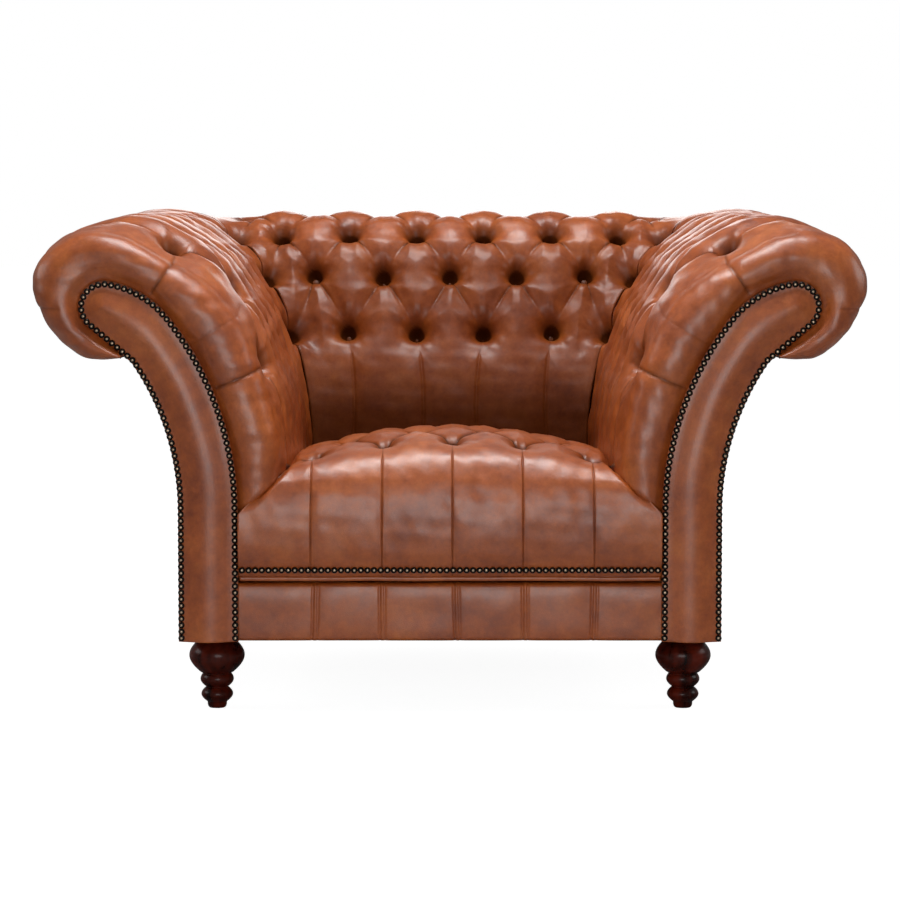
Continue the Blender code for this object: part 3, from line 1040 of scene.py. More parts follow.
@dataclass
class Seat:
    """The fixed, buttoned seat: a low dome that rolls over the front edge to the nails."""

    pitch: float = 0.108
    off_centre: float = 0.003
    first_row: float = -0.392
    row_gap: float = 0.094
    row_count: int = 6
    columns: int = 300
    rows: int = 240
    side_drop: float = 0.038
    # How much the front pleats spread on their way down, and how far apart the folds of one lie.
    fan: float = 1.01
    fold_gap: float = 0.0065
    step: int = 4

    def __post_init__(self) -> None:
        """Takes the nail line from the frame."""
        low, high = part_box("seat_nails")
        self.nail_line = (low[2] + high[2]) / 2
        self.path = np.array(
            [
                (-0.4655, self.nail_line - 0.012),
                (-0.4760, self.nail_line + 0.022),
                (-0.4805, 0.285),
                (-0.4785, 0.330),
                (-0.4680, 0.367),
                (-0.4440, 0.398),
                (-0.4040, 0.419),
                (-0.3500, 0.428),
                (-0.2800, 0.428),
                (-0.1500, 0.420),
                (0.0000, 0.407),
                (0.1000, 0.396),
                (0.1700, 0.380),
            ]
        )
        self.width_steps = np.array([0.0, 2.65, 3.0, 4.0, 5.0, 6.0, 7.0, 12.0])
        self.half_width = np.array([0.3262, 0.3262, 0.3120, 0.2800, 0.2620, 0.2560, 0.2520, 0.2520])
        self.dome = np.array([0.0, 0.0, 0.0, 0.04, 0.14, 0.48, 0.88] + [1.0] * 6)

    def place(self, x: Array, step: Array) -> Array:
        """Points of the plain seat at a distance from the middle and a step along its path.

        Args:
            x: Distances from the middle.
            step: Steps along the path.

        Returns:
            One point for each place.
        """
        x, step = np.broadcast_arrays(np.asarray(x, float), np.asarray(step, float))
        centre = spline(self.path, step)
        dome = np.interp(step, np.arange(len(self.dome)), self.dome)
        drop = self.side_drop * (x / 0.236) ** 2 * dome
        return np.stack([x, centre[..., 0], centre[..., 1] - drop], axis=-1)

    def step_of_depth(self, depth: float) -> float:
        """The step at which the seat's top reaches a depth."""
        fine = np.linspace(4, len(self.path) - 1, 900)
        return float(np.interp(depth, spline(self.path, fine)[:, 0], fine))

    def tufting(self) -> Tufting:
        """Buttons and pleats of the seat.

        Returns:
            The tufting.
        """
        made = Tufting(rise=0.0050, pit=0.0150, pit_radius=0.0125, dish=0.0100, dish_radius=0.0360, sag=0.0)
        random = np.random.default_rng(SEED + 5)
        rows = []
        for row in range(self.row_count):
            depth = self.first_row + row * self.row_gap
            columns = np.arange(-2, 3) if row % 2 == 0 else np.arange(-2, 2) + 0.5
            xs = columns * self.pitch + self.off_centre + random.normal(0, 0.001, len(columns))
            rows.append([(float(x), self.step_of_depth(depth)) for x in xs])
        for number, row in enumerate(rows):
            for place in row:
                made.buttons.append(self.place(*place))
                if number + 1 < len(rows):
                    for other in rows[number + 1]:
                        if abs(other[0] - place[0]) < self.pitch * 0.8:
                            path = self._path(place, other)
                            made.pleats.append(Pleat(path, 0.0040, 0.0030, 0.0070, 0.020))
            for side, place in ((-1, row[0]), (1, row[-1])):
                edge = (side * 0.262, place[1] + (0.15 if number % 2 else 0.5))
                made.pleats.append(Pleat(self._path(place, edge), 0.0035, 0.0028, 0.0060, 0.018))
        for place in rows[0]:
            path = self._path(place, (place[0] * self.fan, 0.0))
            made.pleats.append(Pleat(path, 0.0020, 0.0010, 0.0009, 0.008))
            beside = self._path(place, (place[0] * self.fan + self.fold_gap, 0.0))
            made.pleats.append(Pleat(beside, 0.0006, 0.0010, 0.0, 0.009))
        return made

    def _columns(self, half: float) -> Array:
        """Distances from the middle of one row's points, closer together along the front pleats.

        Args:
            half: Half the row's width.

        Returns:
            The distances.
        """
        fine = np.linspace(-half, half, 1601)
        pleats = np.arange(-2, 3) * self.pitch * self.fan + self.off_centre
        density = 1 + 4 * bell((fine[:, None] - pleats) / 0.008).sum(axis=1)
        total = np.cumsum(density)
        return np.interp(np.linspace(total[0], total[-1], self.columns + 1), total, fine)

    def _path(self, start: Place, end: Place) -> Array:
        """A path on the seat between two places."""
        share = np.linspace(0, 1, 22)
        return self.place(start[0] + (end[0] - start[0]) * share, start[1] + (end[1] - start[1]) * share)

    def button_points(self) -> tuple[Array, Array]:
        """Where the seat's buttons sit, and which way each looks.

        Returns:
            The places and the directions.
        """
        up = np.array([0.0, 0.0, 1.0])
        made = self.tufting()
        spots = np.array(made.buttons) - up * (made.pit + made.dish - made.rise + 0.0020)
        return spots, np.broadcast_to(up, spots.shape)

    def make(self) -> bpy.types.Object:
        """Builds the seat's leather.

        Returns:
            The piece.
        """
        steps = even_steps(self.path, self.rows + 1)
        half = np.interp(steps, self.width_steps, self.half_width)
        x = np.array([self._columns(width) for width in half])
        share = x / half[:, None]
        grid = self.place(x, steps[:, None])
        normal = grid_normals(grid)
        flat = grid.reshape(-1, 3)
        height, _, mask = self.tufting().relief(flat)
        height = height + wobble(flat, 0.10, 0.0012, SEED + 21) + wobble(flat, 0.035, 0.0004, SEED + 22)
        height = height.reshape(grid.shape[:2])
        tacked = smoothstep(steps / 1.2)[:, None]
        edge = smoothstep((np.abs(share) - 0.93) / 0.07) * smoothstep((steps[:, None] - 2.6) / 1.2)
        height = height * (0.1 + 0.9 * tacked) - 0.010 * edge
        sign = -1.0 if normal[len(steps) // 2, self.columns // 2, 2] < 0 else 1.0
        skin = grid + sign * normal * height[..., None]
        lining = grid - sign * normal * 0.030
        lining[..., 1] = np.maximum(lining[..., 1], SKIN.front + 0.010)
        lining[..., 2] = np.maximum(lining[..., 2], self.nail_line - 0.010)
        lining[0] = grid[0] + np.array([0.0, 0.006, 0.0])
        piece = closed_pad("seat_leather", skin, lining, self.step, sign < 0)
        # The fold attribute carries the painted shade of the seat's pits and creases.
        store_numbers(piece, "fold", mask)
        return piece


# ------------------------------------------------------------------ the facings and outside covers


def loft_closed(name: str, front: Array, back: Array) -> bpy.types.Object:
    """A closed body between a front grid and a back grid of the same size, joined round their edge.

    Args:
        name: Name of the piece.
        front: The front grid.
        back: The back grid.

    Returns:
        The piece.
    """
    rows, columns = front.shape[:2]
    size = rows * columns
    vertices = np.vstack([front.reshape(-1, 3), back.reshape(-1, 3)])
    faces = grid_faces(rows, columns).tolist() + grid_faces(rows, columns, size)[:, ::-1].tolist()
    edge = rim_loop(rows, columns)
    after = np.roll(edge, -1)
    faces += np.stack([after, edge, edge + size, after + size], axis=1).tolist()
    obj = make_mesh(name, vertices, faces)
    working = bmesh.new()
    working.from_mesh(obj.data)
    bmesh.ops.recalc_face_normals(working, faces=working.faces)
    working.to_mesh(obj.data)
    working.free()
    return obj


@dataclass
class ArmFacing:
    """The narrow leather panel on the front of an arm, softly padded between its two rows of nails."""

    thickness: float = 0.0105
    bulge: float = 0.0105
    stations: int = 230
    across: int = 20
    nail_inset: float = 0.0045
    lip: float = 0.0034

    def make(self, hand: Hand) -> bpy.types.Object:
        """Builds one facing panel.

        Args:
            hand: Which side.

        Returns:
            The piece.
        """
        low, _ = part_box(f"{hand.word}_facing_panel")
        base = low[2] - HEM
        outer = evenly(FACING.outer_half(base), self.stations + 3)[: self.stations]
        inner = evenly(FACING.inner_half(base), self.stations + 3)[: self.stations]
        share = (1 - np.cos(np.linspace(0, math.pi, self.across + 1))) / 2
        flat = outer[:, None] + (inner - outer)[:, None] * share[None, :, None]
        gap, _, _ = distance_to_path(flat.reshape(-1, 2), FACING.outline(base))
        edge = smoothstep((gap - 0.0002) / 0.0060) * self.lip
        crown = self.bulge * smoothstep((gap - 0.008) / 0.036) ** 0.85
        height = (edge + crown).reshape(flat.shape[:2])
        points = np.stack([flat[..., 0], np.zeros(flat.shape[:2]), flat[..., 1]], axis=-1)
        rumple = wobble(points.reshape(-1, 3), 0.12, 0.0006, SEED + 31).reshape(height.shape)
        height += rumple * (height > self.lip)
        front = points.copy()
        front[..., 1] = low[1] + 0.0028 - height
        front[..., 0] *= hand.value
        back = points.copy()
        back[..., 1] = low[1] + self.thickness
        back[..., 0] *= hand.value
        return loft_closed(f"{hand.word}_facing_leather", front, back)

    def nail_path(self, hand: Hand) -> Array:
        """The line of nails just inside the panel's edge.

        Args:
            hand: Which side.

        Returns:
            The line's points.
        """
        low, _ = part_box(f"{hand.word}_facing_panel")
        outline = evenly(FACING.outline(low[2] + 0.006 - HEM), 400)
        along = np.gradient(outline, axis=0)
        along /= np.linalg.norm(along, axis=1, keepdims=True)
        inward = np.stack([-along[:, 1], along[:, 0]], axis=1)
        inset = outline + inward * self.nail_inset
        y = np.full(len(inset), low[1] - 0.0012)
        return np.stack([inset[:, 0] * hand.value, y, inset[:, 1]], axis=1)


@dataclass
class OutsideCovers:
    """The plain leather over the outsides of the arms and the back."""

    slack: float = 0.0050
    rows: int = 90
    columns: int = 60

    def make_arm(self, hand: Hand) -> bpy.types.Object:
        """Builds the cover of one arm's outside.

        Args:
            hand: Which side.

        Returns:
            The piece.
        """
        low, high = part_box(f"{hand.word}_outside_arm_cover")
        edge = evenly(FACING.outer_edge(low[2] - HEM), self.rows + 1)
        along = np.gradient(edge, axis=0)
        along /= np.linalg.norm(along, axis=1, keepdims=True)
        outward = np.stack([along[:, 1], -along[:, 0]], axis=1)
        share = np.linspace(0, 1, self.columns + 1)
        depth = low[1] + (high[1] - low[1]) * share
        up = np.linspace(0, 1, self.rows + 1)
        rise = np.minimum(1, 9 * up * (1 - up))[:, None]
        swell = rise * np.minimum(1, 9 * share * (1 - share))[None, :]
        flat = np.broadcast_to(edge[:, None], (self.rows + 1, self.columns + 1, 2))
        points = np.stack([flat[..., 0], np.broadcast_to(depth, flat.shape[:2]), flat[..., 1]], axis=-1)
        rumple = wobble(points.reshape(-1, 3), 0.20, 0.0011, SEED + 41).reshape(swell.shape)
        lift = (self.slack + rumple) * swell
        front = flat + outward[:, None] * lift[..., None]
        back = flat - outward[:, None] * 0.0024
        side = hand.value
        skin = np.stack([front[..., 0] * side, points[..., 1], front[..., 1]], axis=-1)
        lining = np.stack([back[..., 0] * side, points[..., 1], back[..., 1]], axis=-1)
        return loft_closed(f"{hand.word}_outside_leather", skin, lining)

    def make_back(self) -> bpy.types.Object:
        """Builds the cover of the back's outside.

        Returns:
            The piece.
        """
        low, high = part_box("outside_back_cover")
        edge = evenly(FACING.outer_edge(low[2] - HEM), self.rows + 1)
        share = np.linspace(-1, 1, 2 * self.columns + 1)
        x = edge[:, :1] * share[None, :]
        z = np.broadcast_to(edge[:, 1:], x.shape)
        up = np.linspace(0, 1, self.rows + 1)
        swell = np.minimum(1, 9 * up * (1 - up))[:, None] * np.minimum(1, 5 * (1 - np.abs(share)))[None, :]
        points = np.stack([x, np.zeros(x.shape), z], axis=-1)
        rumple = wobble(points.reshape(-1, 3), 0.30, 0.0016, SEED + 43).reshape(swell.shape)
        skin = points.copy()
        skin[..., 1] = high[1] + (self.slack + rumple) * swell
        lining = points.copy()
        lining[..., 1] = low[1]
        return loft_closed("outside_back_leather", skin, lining)


@dataclass
class FrontTrim:
    """The border under the seat: pleated leather, with a thin piping and a row of nails above it."""

    pleats: tuple[float, ...] = (-0.213, -0.108, 0.008, 0.113, 0.218)
    rows: int = 44
    columns: int = 420
    slack: float = 0.0045
    # How far the border runs on behind the facings and up behind the piping.
    side_reach: float = 0.0016
    top_reach: float = 0.0035

    def make_border(self) -> bpy.types.Object:
        """Builds the pleated border.

        Returns:
            The piece.
        """
        low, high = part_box("front_border")
        x = np.linspace(low[0] - self.side_reach, high[0] + self.side_reach, self.columns + 1)[None, :]
        up = np.linspace(0, 1, self.rows + 1)[:, None]
        x, up = np.broadcast_arrays(x, up)
        z = low[2] - HEM + (high[2] - low[2] + HEM + self.top_reach) * up
        lift = self.slack * (1 - (2 * up - 0.9) ** 4 * 0.8)
        for number, pleat in enumerate(self.pleats):
            lean = 0.0025 * math.sin(5 * number + 1) * up
            gap = x - pleat - lean
            lift = lift - 0.0026 * bell(gap / 0.0016) - 0.0018 * bell((gap - 0.0075) / 0.0016)
            lift = lift + 0.0012 * bell((gap - 0.0038) / 0.0030) - 0.0016 * bell(gap / 0.016)
        points = np.stack([x, np.zeros(x.shape), z], axis=-1)
        lift = lift + wobble(points.reshape(-1, 3), 0.08, 0.0005, SEED + 51).reshape(lift.shape)
        edge = np.minimum(up, 1 - up) * (high[2] - low[2])
        lift = lift - 0.004 * (1 - smoothstep(edge / 0.0035))
        skin = points.copy()
        skin[..., 1] = low[1] - lift
        lining = points.copy()
        lining[..., 1] = high[1]
        return loft_closed("front_border_leather", skin, lining)

    def make_piping(self) -> bpy.types.Object:
        """Builds the piping as a thin, slightly uneven tube.

        Returns:
            The piece.
        """
        low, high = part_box("seat_piping")
        count, sides = 320, 14
        x = np.linspace(low[0], high[0], count + 1)
        line = np.empty((count + 1, 3))
        line[:] = (np.array(low) + np.array(high)) / 2
        line[:, 0] = x
        line[:, 2] += wobble(line, 0.12, 0.0004, SEED + 53)
        angle = np.linspace(0, 2 * math.pi, sides, endpoint=False)
        ring = np.stack([np.zeros(sides), np.cos(angle), np.sin(angle)], axis=1) * (high[2] - low[2]) / 2
        rings = line[:, None] + ring[None]
        index = np.arange((count + 1) * sides).reshape(count + 1, sides)
        turned = np.roll(index, -1, axis=1)
        faces = np.stack([index[:-1], turned[:-1], turned[1:], index[1:]], axis=-1).reshape(-1, 4).tolist()
        faces += [index[0][::-1].tolist(), index[-1].tolist()]
        return make_mesh("seat_piping_leather", rings.reshape(-1, 3), faces)

    def nail_path(self) -> Array:
        """The line of nails along the bottom of the seat."""
        low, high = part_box("seat_nails")
        x = np.linspace(low[0] + 0.004, high[0] - 0.004, 60)
        return np.stack([x, np.full(60, low[1] + 0.0010), np.full(60, (low[2] + high[2]) / 2)], axis=1)


# ------------------------------------------------------------------ feet


@dataclass
class TurnedFoot:
    """A turned foot: a wide flat bun over two smaller beads and a plain toe."""

    steps: int = 64
    neck_cut: float = 0.0012

    def _bead(self, top: Place, bottom: Place, belly: float, count: int) -> Array:
        """A turned bead from one (radius, height) to another, which swells by belly at its middle."""
        share = np.linspace(0, 1, count, endpoint=False)
        radius = top[0] + (bottom[0] - top[0]) * share + belly * np.sin(math.pi * share) ** 0.9
        return np.stack([radius, top[1] + (bottom[1] - top[1]) * share], axis=1)

    def profile(self, top: float) -> Array:
        """Radius and height from the top down to the sole.

        Args:
            top: Height of the foot's top.

        Returns:
            The points.
        """
        neck = self.neck_cut
        return np.vstack(
            [
                [(0.0, top), (0.0205, top)],
                self._bead((0.0220, top - 0.0006), (0.0232, 0.0546), 0.0208, 28),
                [(0.0232 - neck, 0.0544), (0.0232 - neck, 0.0536)],
                self._bead((0.0228, 0.0534), (0.0178, 0.0334), 0.0056, 16),
                [(0.0178 - neck, 0.0332), (0.0178 - neck, 0.0326)],
                self._bead((0.0178, 0.0324), (0.0152, 0.0095), 0.0083, 18),
                [(0.0152, 0.0092), (0.0150, 0.0050), (0.0140, 0.0018), (0.0122, 0.0), (0.0, 0.0)],
            ]
        )

    def make(self, hand: Hand, end: str) -> bpy.types.Object:
        """Builds the foot of one corner, its flat top just under the frame.

        Args:
            hand: Which side.
            end: front or rear.

        Returns:
            The piece.
        """
        low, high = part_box(f"{hand.word}_{end}_foot")
        centre = ((low[0] + high[0]) / 2, (low[1] + high[1]) / 2)
        profile = self.profile(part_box("front_border")[0][2] - 0.0015 - HEM)
        angle = np.linspace(0, 2 * math.pi, self.steps, endpoint=False)
        rings = profile[1:-1]
        x = centre[0] + rings[:, :1] * np.cos(angle)
        y = centre[1] + rings[:, :1] * np.sin(angle)
        z = np.broadcast_to(rings[:, 1:], x.shape)
        vertices = np.stack([x, y, z], axis=-1).reshape(-1, 3)
        index = np.arange(len(vertices)).reshape(len(rings), self.steps)
        turned = np.roll(index, -1, axis=1)
        faces = np.stack([index[:-1], index[1:], turned[1:], turned[:-1]], axis=-1).reshape(-1, 4).tolist()
        top, sole = len(vertices), len(vertices) + 1
        ends = [(*centre, float(profile[0, 1])), (*centre, float(profile[-1, 1]))]
        for k in range(self.steps):
            faces.append([top, int(index[0, k]), int(turned[0, k])])
            faces.append([sole, int(turned[-1, k]), int(index[-1, k])])
        obj = make_mesh(f"{hand.word}_{end}_turned_foot", np.vstack([vertices, ends]), faces)
        obj.data.set_sharp_from_angle(angle=math.radians(50))
        return obj


# ------------------------------------------------------------------ geometry nodes


class Tree:
    """A node tree with short ways to add nodes and join them."""

    def __init__(self, tree: bpy.types.NodeTree) -> None:
        """Wraps a tree."""
        self.tree = tree

    def add(self, kind: str, values: dict | None = None, **settings: object) -> bpy.types.Node:
        """Adds a node.

        Args:
            kind: The node's type.
            values: What its input sockets hold: a plain value, or another node's output socket.
            **settings: Properties of the node.

        Returns:
            The node.
        """
        node = self.tree.nodes.new(kind)
        for key, value in settings.items():
            setattr(node, key, value)
        for key, value in (values or {}).items():
            socket = node.inputs[key]
            if isinstance(value, bpy.types.NodeSocket):
                self.tree.links.new(value, socket)
            else:
                socket.default_value = value
        return node

    def maths(self, operation: str, *values: object, clamp: bool = False) -> bpy.types.NodeSocket:
        """Works a sum on numbers or sockets.

        Args:
            operation: The kind of sum.
            *values: What it works on.
            clamp: Keeps the result between 0 and 1.

        Returns:
            The result.
        """
        sum_node = self.add("ShaderNodeMath", dict(enumerate(values)), operation=operation, use_clamp=clamp)
        return sum_node.outputs[0]

    def link(self, out: bpy.types.NodeSocket, into: bpy.types.NodeSocket) -> None:
        """Joins two sockets."""
        self.tree.links.new(out, into)


@dataclass
class Studs:
    """Small domes set along a path or on points: upholstery nails and covered buttons."""

    tree_name: str
    along_path: bool
    radius: float
    rise: float
    segments: int = 10
    rings: int = 6
    pitch: float = 0.0101

    def tree(self, material: bpy.types.Material) -> bpy.types.NodeTree:
        """Builds the tree that sets the studs.

        Args:
            material: What the studs are made of.

        Returns:
            The tree, with its sizes as named inputs.
        """
        group = bpy.data.node_groups.new(self.tree_name, "GeometryNodeTree")
        face = group.interface
        face.new_socket("Geometry", in_out="INPUT", socket_type="NodeSocketGeometry")
        for label, value in (("Pitch", self.pitch), ("Radius", self.radius), ("Rise", self.rise)):
            face.new_socket(label, in_out="INPUT", socket_type="NodeSocketFloat").default_value = value
        face.new_socket("Seed", in_out="INPUT", socket_type="NodeSocketInt").default_value = SEED
        face.new_socket("Geometry", in_out="OUTPUT", socket_type="NodeSocketGeometry")
        t = Tree(group)
        source = t.add("NodeGroupInput").outputs
        points = source["Geometry"]
        if self.along_path:
            curve = t.add("GeometryNodeMeshToCurve", {"Mesh": points}).outputs["Curve"]
            spacing = {"Curve": curve, "Length": source["Pitch"]}
            even = t.add("GeometryNodeResampleCurve", spacing, mode="LENGTH")
            points = t.add("GeometryNodeCurveToPoints", {"Curve": even.outputs["Curve"]}, mode="EVALUATED")
            points = points.outputs["Points"]
        counts = {"Segments": self.segments, "Rings": self.rings, "Radius": 1.0}
        ball = t.add("GeometryNodeMeshUVSphere", counts)
        where = t.add("GeometryNodeInputPosition").outputs["Position"]
        height = t.add("ShaderNodeSeparateXYZ", {"Vector": where}).outputs["Z"]
        marked = t.add(
            "GeometryNodeStoreNamedAttribute",
            {"Geometry": ball.outputs["Mesh"], "Name": "crown", "Value": height},
            data_type="FLOAT",
            domain="POINT",
        )
        sizes = {"X": source["Radius"], "Y": source["Radius"], "Z": source["Rise"]}
        size = t.add("ShaderNodeCombineXYZ", sizes).outputs["Vector"]
        dome = t.add("GeometryNodeTransform", {"Geometry": marked.outputs["Geometry"], "Scale": size})
        facing = t.add("GeometryNodeInputNamedAttribute", {"Name": "facing"}, data_type="FLOAT_VECTOR")
        turn = t.add("FunctionNodeAlignEulerToVector", {"Vector": facing.outputs["Attribute"]}, axis="Z")
        random = t.add(
            "FunctionNodeRandomValue",
            {"Min": (-0.07, -0.07, -0.07), "Max": (0.07, 0.07, 0.07), "Seed": source["Seed"]},
            data_type="FLOAT_VECTOR",
        )
        tilt = t.add("ShaderNodeVectorMath", {0: turn.outputs[0], 1: random.outputs[0]}, operation="ADD")
        placed = t.add(
            "GeometryNodeInstanceOnPoints",
            {"Points": points, "Instance": dome.outputs["Geometry"], "Rotation": tilt.outputs["Vector"]},
        )
        real = t.add("GeometryNodeRealizeInstances", {"Geometry": placed.outputs["Instances"]})
        smooth = t.add("GeometryNodeSetShadeSmooth", {"Geometry": real.outputs["Geometry"]})
        dressed = {"Geometry": smooth.outputs["Geometry"], "Material": material}
        finished = t.add("GeometryNodeSetMaterial", dressed)
        t.link(finished.outputs["Geometry"], t.add("NodeGroupOutput").inputs["Geometry"])
        return group

    def make(
        self, name: str, points: Array, facing: Array, tree: bpy.types.NodeTree, seed: int
    ) -> bpy.types.Object:
        """Sets studs and keeps them as a plain mesh.

        Args:
            name: Name of the piece.
            points: The path's corners, or the studs' places.
            facing: Which way each stud looks.
            tree: The tree from tree().
            seed: Fixes the small tilts.

        Returns:
            The piece.
        """
        mesh = bpy.data.meshes.new(name + "_line")
        edges = [(k, k + 1) for k in range(len(points) - 1)] if self.along_path else []
        mesh.from_pydata(points.tolist(), edges, [])
        layer = mesh.attributes.new("facing", "FLOAT_VECTOR", "POINT")
        ways = np.ascontiguousarray(np.broadcast_to(facing, points.shape), np.float32)
        layer.data.foreach_set("vector", ways.ravel())
        guide = add_object(name + "_line", mesh)
        modifier = guide.modifiers.new("studs", "NODES")
        modifier.node_group = tree
        seed_input = next(i for i in tree.interface.items_tree if i.name == "Seed")
        modifier[seed_input.identifier] = seed
        bpy.context.view_layer.update()
        evaluated = guide.evaluated_get(bpy.context.evaluated_depsgraph_get())
        made = bpy.data.meshes.new_from_object(evaluated)
        made.name = name
        bpy.data.objects.remove(guide)
        return add_object(name, made)


# ------------------------------------------------------------------ finishes


def rgb(red: int, green: int, blue: int) -> tuple[float, float, float, float]:
    """A colour from its everyday 0 to 255 values.

    Args:
        red: Red.
        green: Green.
        blue: Blue.

    Returns:
        The opaque colour in linear light.
    """
    parts = []
    for value in (red, green, blue):
        share = value / 255
        parts.append(share / 12.92 if share <= 0.04045 else ((share + 0.055) / 1.055) ** 2.4)
    return (*parts, 1.0)


def shader_group(
    name: str, inputs: dict[str, float], outputs: dict[str, str]
) -> tuple[Tree, dict, bpy.types.Node]:
    """A new shader node group with a Vector input, named numbers, and outputs.

    Args:
        name: Name of the group.
        inputs: Number inputs and what they hold by default.
        outputs: Output names and their socket types.

    Returns:
        The tree, its input sockets by name, and its output node.
    """
    group = bpy.data.node_groups.new(name, "ShaderNodeTree")
    group.interface.new_socket("Vector", in_out="INPUT", socket_type="NodeSocketVector")
    for label, value in inputs.items():
        group.interface.new_socket(label, in_out="INPUT", socket_type="NodeSocketFloat").default_value = value
    for label, kind in outputs.items():
        group.interface.new_socket(label, in_out="OUTPUT", socket_type=kind)
    tree = Tree(group)
    return tree, tree.add("NodeGroupInput").outputs, tree.add("NodeGroupOutput")


def mottle_group() -> bpy.types.NodeTree:
    """Cloudy patches at three sizes, from 0 to 1.

    Returns:
        The group.
    """
    numbers = {"Scale": 8.0, "Contrast": 1.0}
    t, given, out = shader_group("cloudy_mottle", numbers, {"Value": "NodeSocketFloat"})
    parts = []
    for factor, detail, weight in ((1.0, 3.0, 0.50), (3.7, 4.0, 0.32), (14.0, 5.0, 0.18)):
        scale = t.maths("MULTIPLY", given["Scale"], factor)
        cloud = {"Vector": given["Vector"], "Scale": scale, "Detail": detail, "Roughness": 0.62}
        parts.append(t.maths("MULTIPLY", t.add("ShaderNodeTexNoise", cloud).outputs["Fac"], weight))
    total = t.maths("ADD", t.maths("ADD", parts[0], parts[1]), parts[2])
    gain = t.maths("MULTIPLY", given["Contrast"], 2.6)
    t.link(t.maths("MULTIPLY_ADD", t.maths("ADD", total, -0.5), gain, 0.5, clamp=True), out.inputs["Value"])
    return t.tree


def hide_grain_group() -> bpy.types.NodeTree:
    """The pebbled grain of leather, as a height, with finer pores between the pebbles.

    Returns:
        The group.
    """
    t, given, out = shader_group("hide_grain", {"Scale": 520.0}, {"Height": "NodeSocketFloat"})
    warp = t.add("ShaderNodeTexNoise", {"Vector": given["Vector"], "Scale": 60.0, "Detail": 2.0})
    shifted = t.add("ShaderNodeVectorMath", {0: warp.outputs["Color"], "Scale": 0.004}, operation="SCALE")
    place = t.add("ShaderNodeVectorMath", {0: given["Vector"], 1: shifted.outputs["Vector"]}, operation="ADD")
    cells = t.add(
        "ShaderNodeTexVoronoi",
        {"Vector": place.outputs["Vector"], "Scale": given["Scale"], "Randomness": 0.9},
        feature="DISTANCE_TO_EDGE",
    )
    edges = {"Value": cells.outputs["Distance"], 2: 0.28, 4: 1.0}
    pebble = t.add("ShaderNodeMapRange", edges, interpolation_type="SMOOTHSTEP").outputs["Result"]
    fine = t.add("ShaderNodeTexNoise", {"Vector": given["Vector"], "Scale": 900.0, "Detail": 3.0})
    t.link(t.maths("MULTIPLY_ADD", fine.outputs["Fac"], 0.35, pebble), out.inputs["Height"])
    return t.tree


def timber_figure_group() -> bpy.types.NodeTree:
    """Long streaks of timber grain along Z, from 0 to 1.

    Returns:
        The group.
    """
    t, given, out = shader_group("timber_figure", {"Scale": 40.0}, {"Value": "NodeSocketFloat"})
    squashed = t.add("ShaderNodeVectorMath", {0: given["Vector"], 1: (1.0, 1.0, 0.09)}, operation="MULTIPLY")
    warp = t.add("ShaderNodeTexNoise", {"Vector": squashed.outputs["Vector"], "Scale": 22.0, "Detail": 3.0})
    moved = t.add("ShaderNodeVectorMath", {0: warp.outputs["Color"], "Scale": 0.018}, operation="SCALE")
    both = {0: squashed.outputs["Vector"], 1: moved.outputs["Vector"]}
    place = t.add("ShaderNodeVectorMath", both, operation="ADD").outputs["Vector"]
    streak = t.add("ShaderNodeTexNoise", {"Vector": place, "Scale": given["Scale"], "Detail": 6.0})
    wide = t.add("ShaderNodeMapRange", {"Value": streak.outputs["Fac"], 1: 0.32, 2: 0.68})
    t.link(wide.outputs["Result"], out.inputs["Value"])
    return t.tree


def weave_group() -> bpy.types.NodeTree:
    """A plain weave in the X and Y directions, as a height from 0 to 1.

    Returns:
        The group.
    """
    t, given, out = shader_group("plain_weave", {"Scale": 300.0}, {"Height": "NodeSocketFloat"})
    parts = t.add("ShaderNodeSeparateXYZ", {"Vector": given["Vector"]}).outputs
    slope = t.maths("ADD", parts["Y"], parts["Z"])
    waves = [t.maths("SINE", t.maths("MULTIPLY", way, given["Scale"])) for way in (parts["X"], slope)]
    cross = t.maths("MULTIPLY", waves[0], waves[1])
    t.link(t.maths("MULTIPLY_ADD", cross, 0.5, 0.5), out.inputs["Height"])
    return t.tree


class Effects:
    """Shared shader groups, each built once."""

    def __init__(self) -> None:
        """Builds the groups."""
        self.mottle = mottle_group()
        self.hide_grain = hide_grain_group()
        self.timber_figure = timber_figure_group()
        self.weave = weave_group()


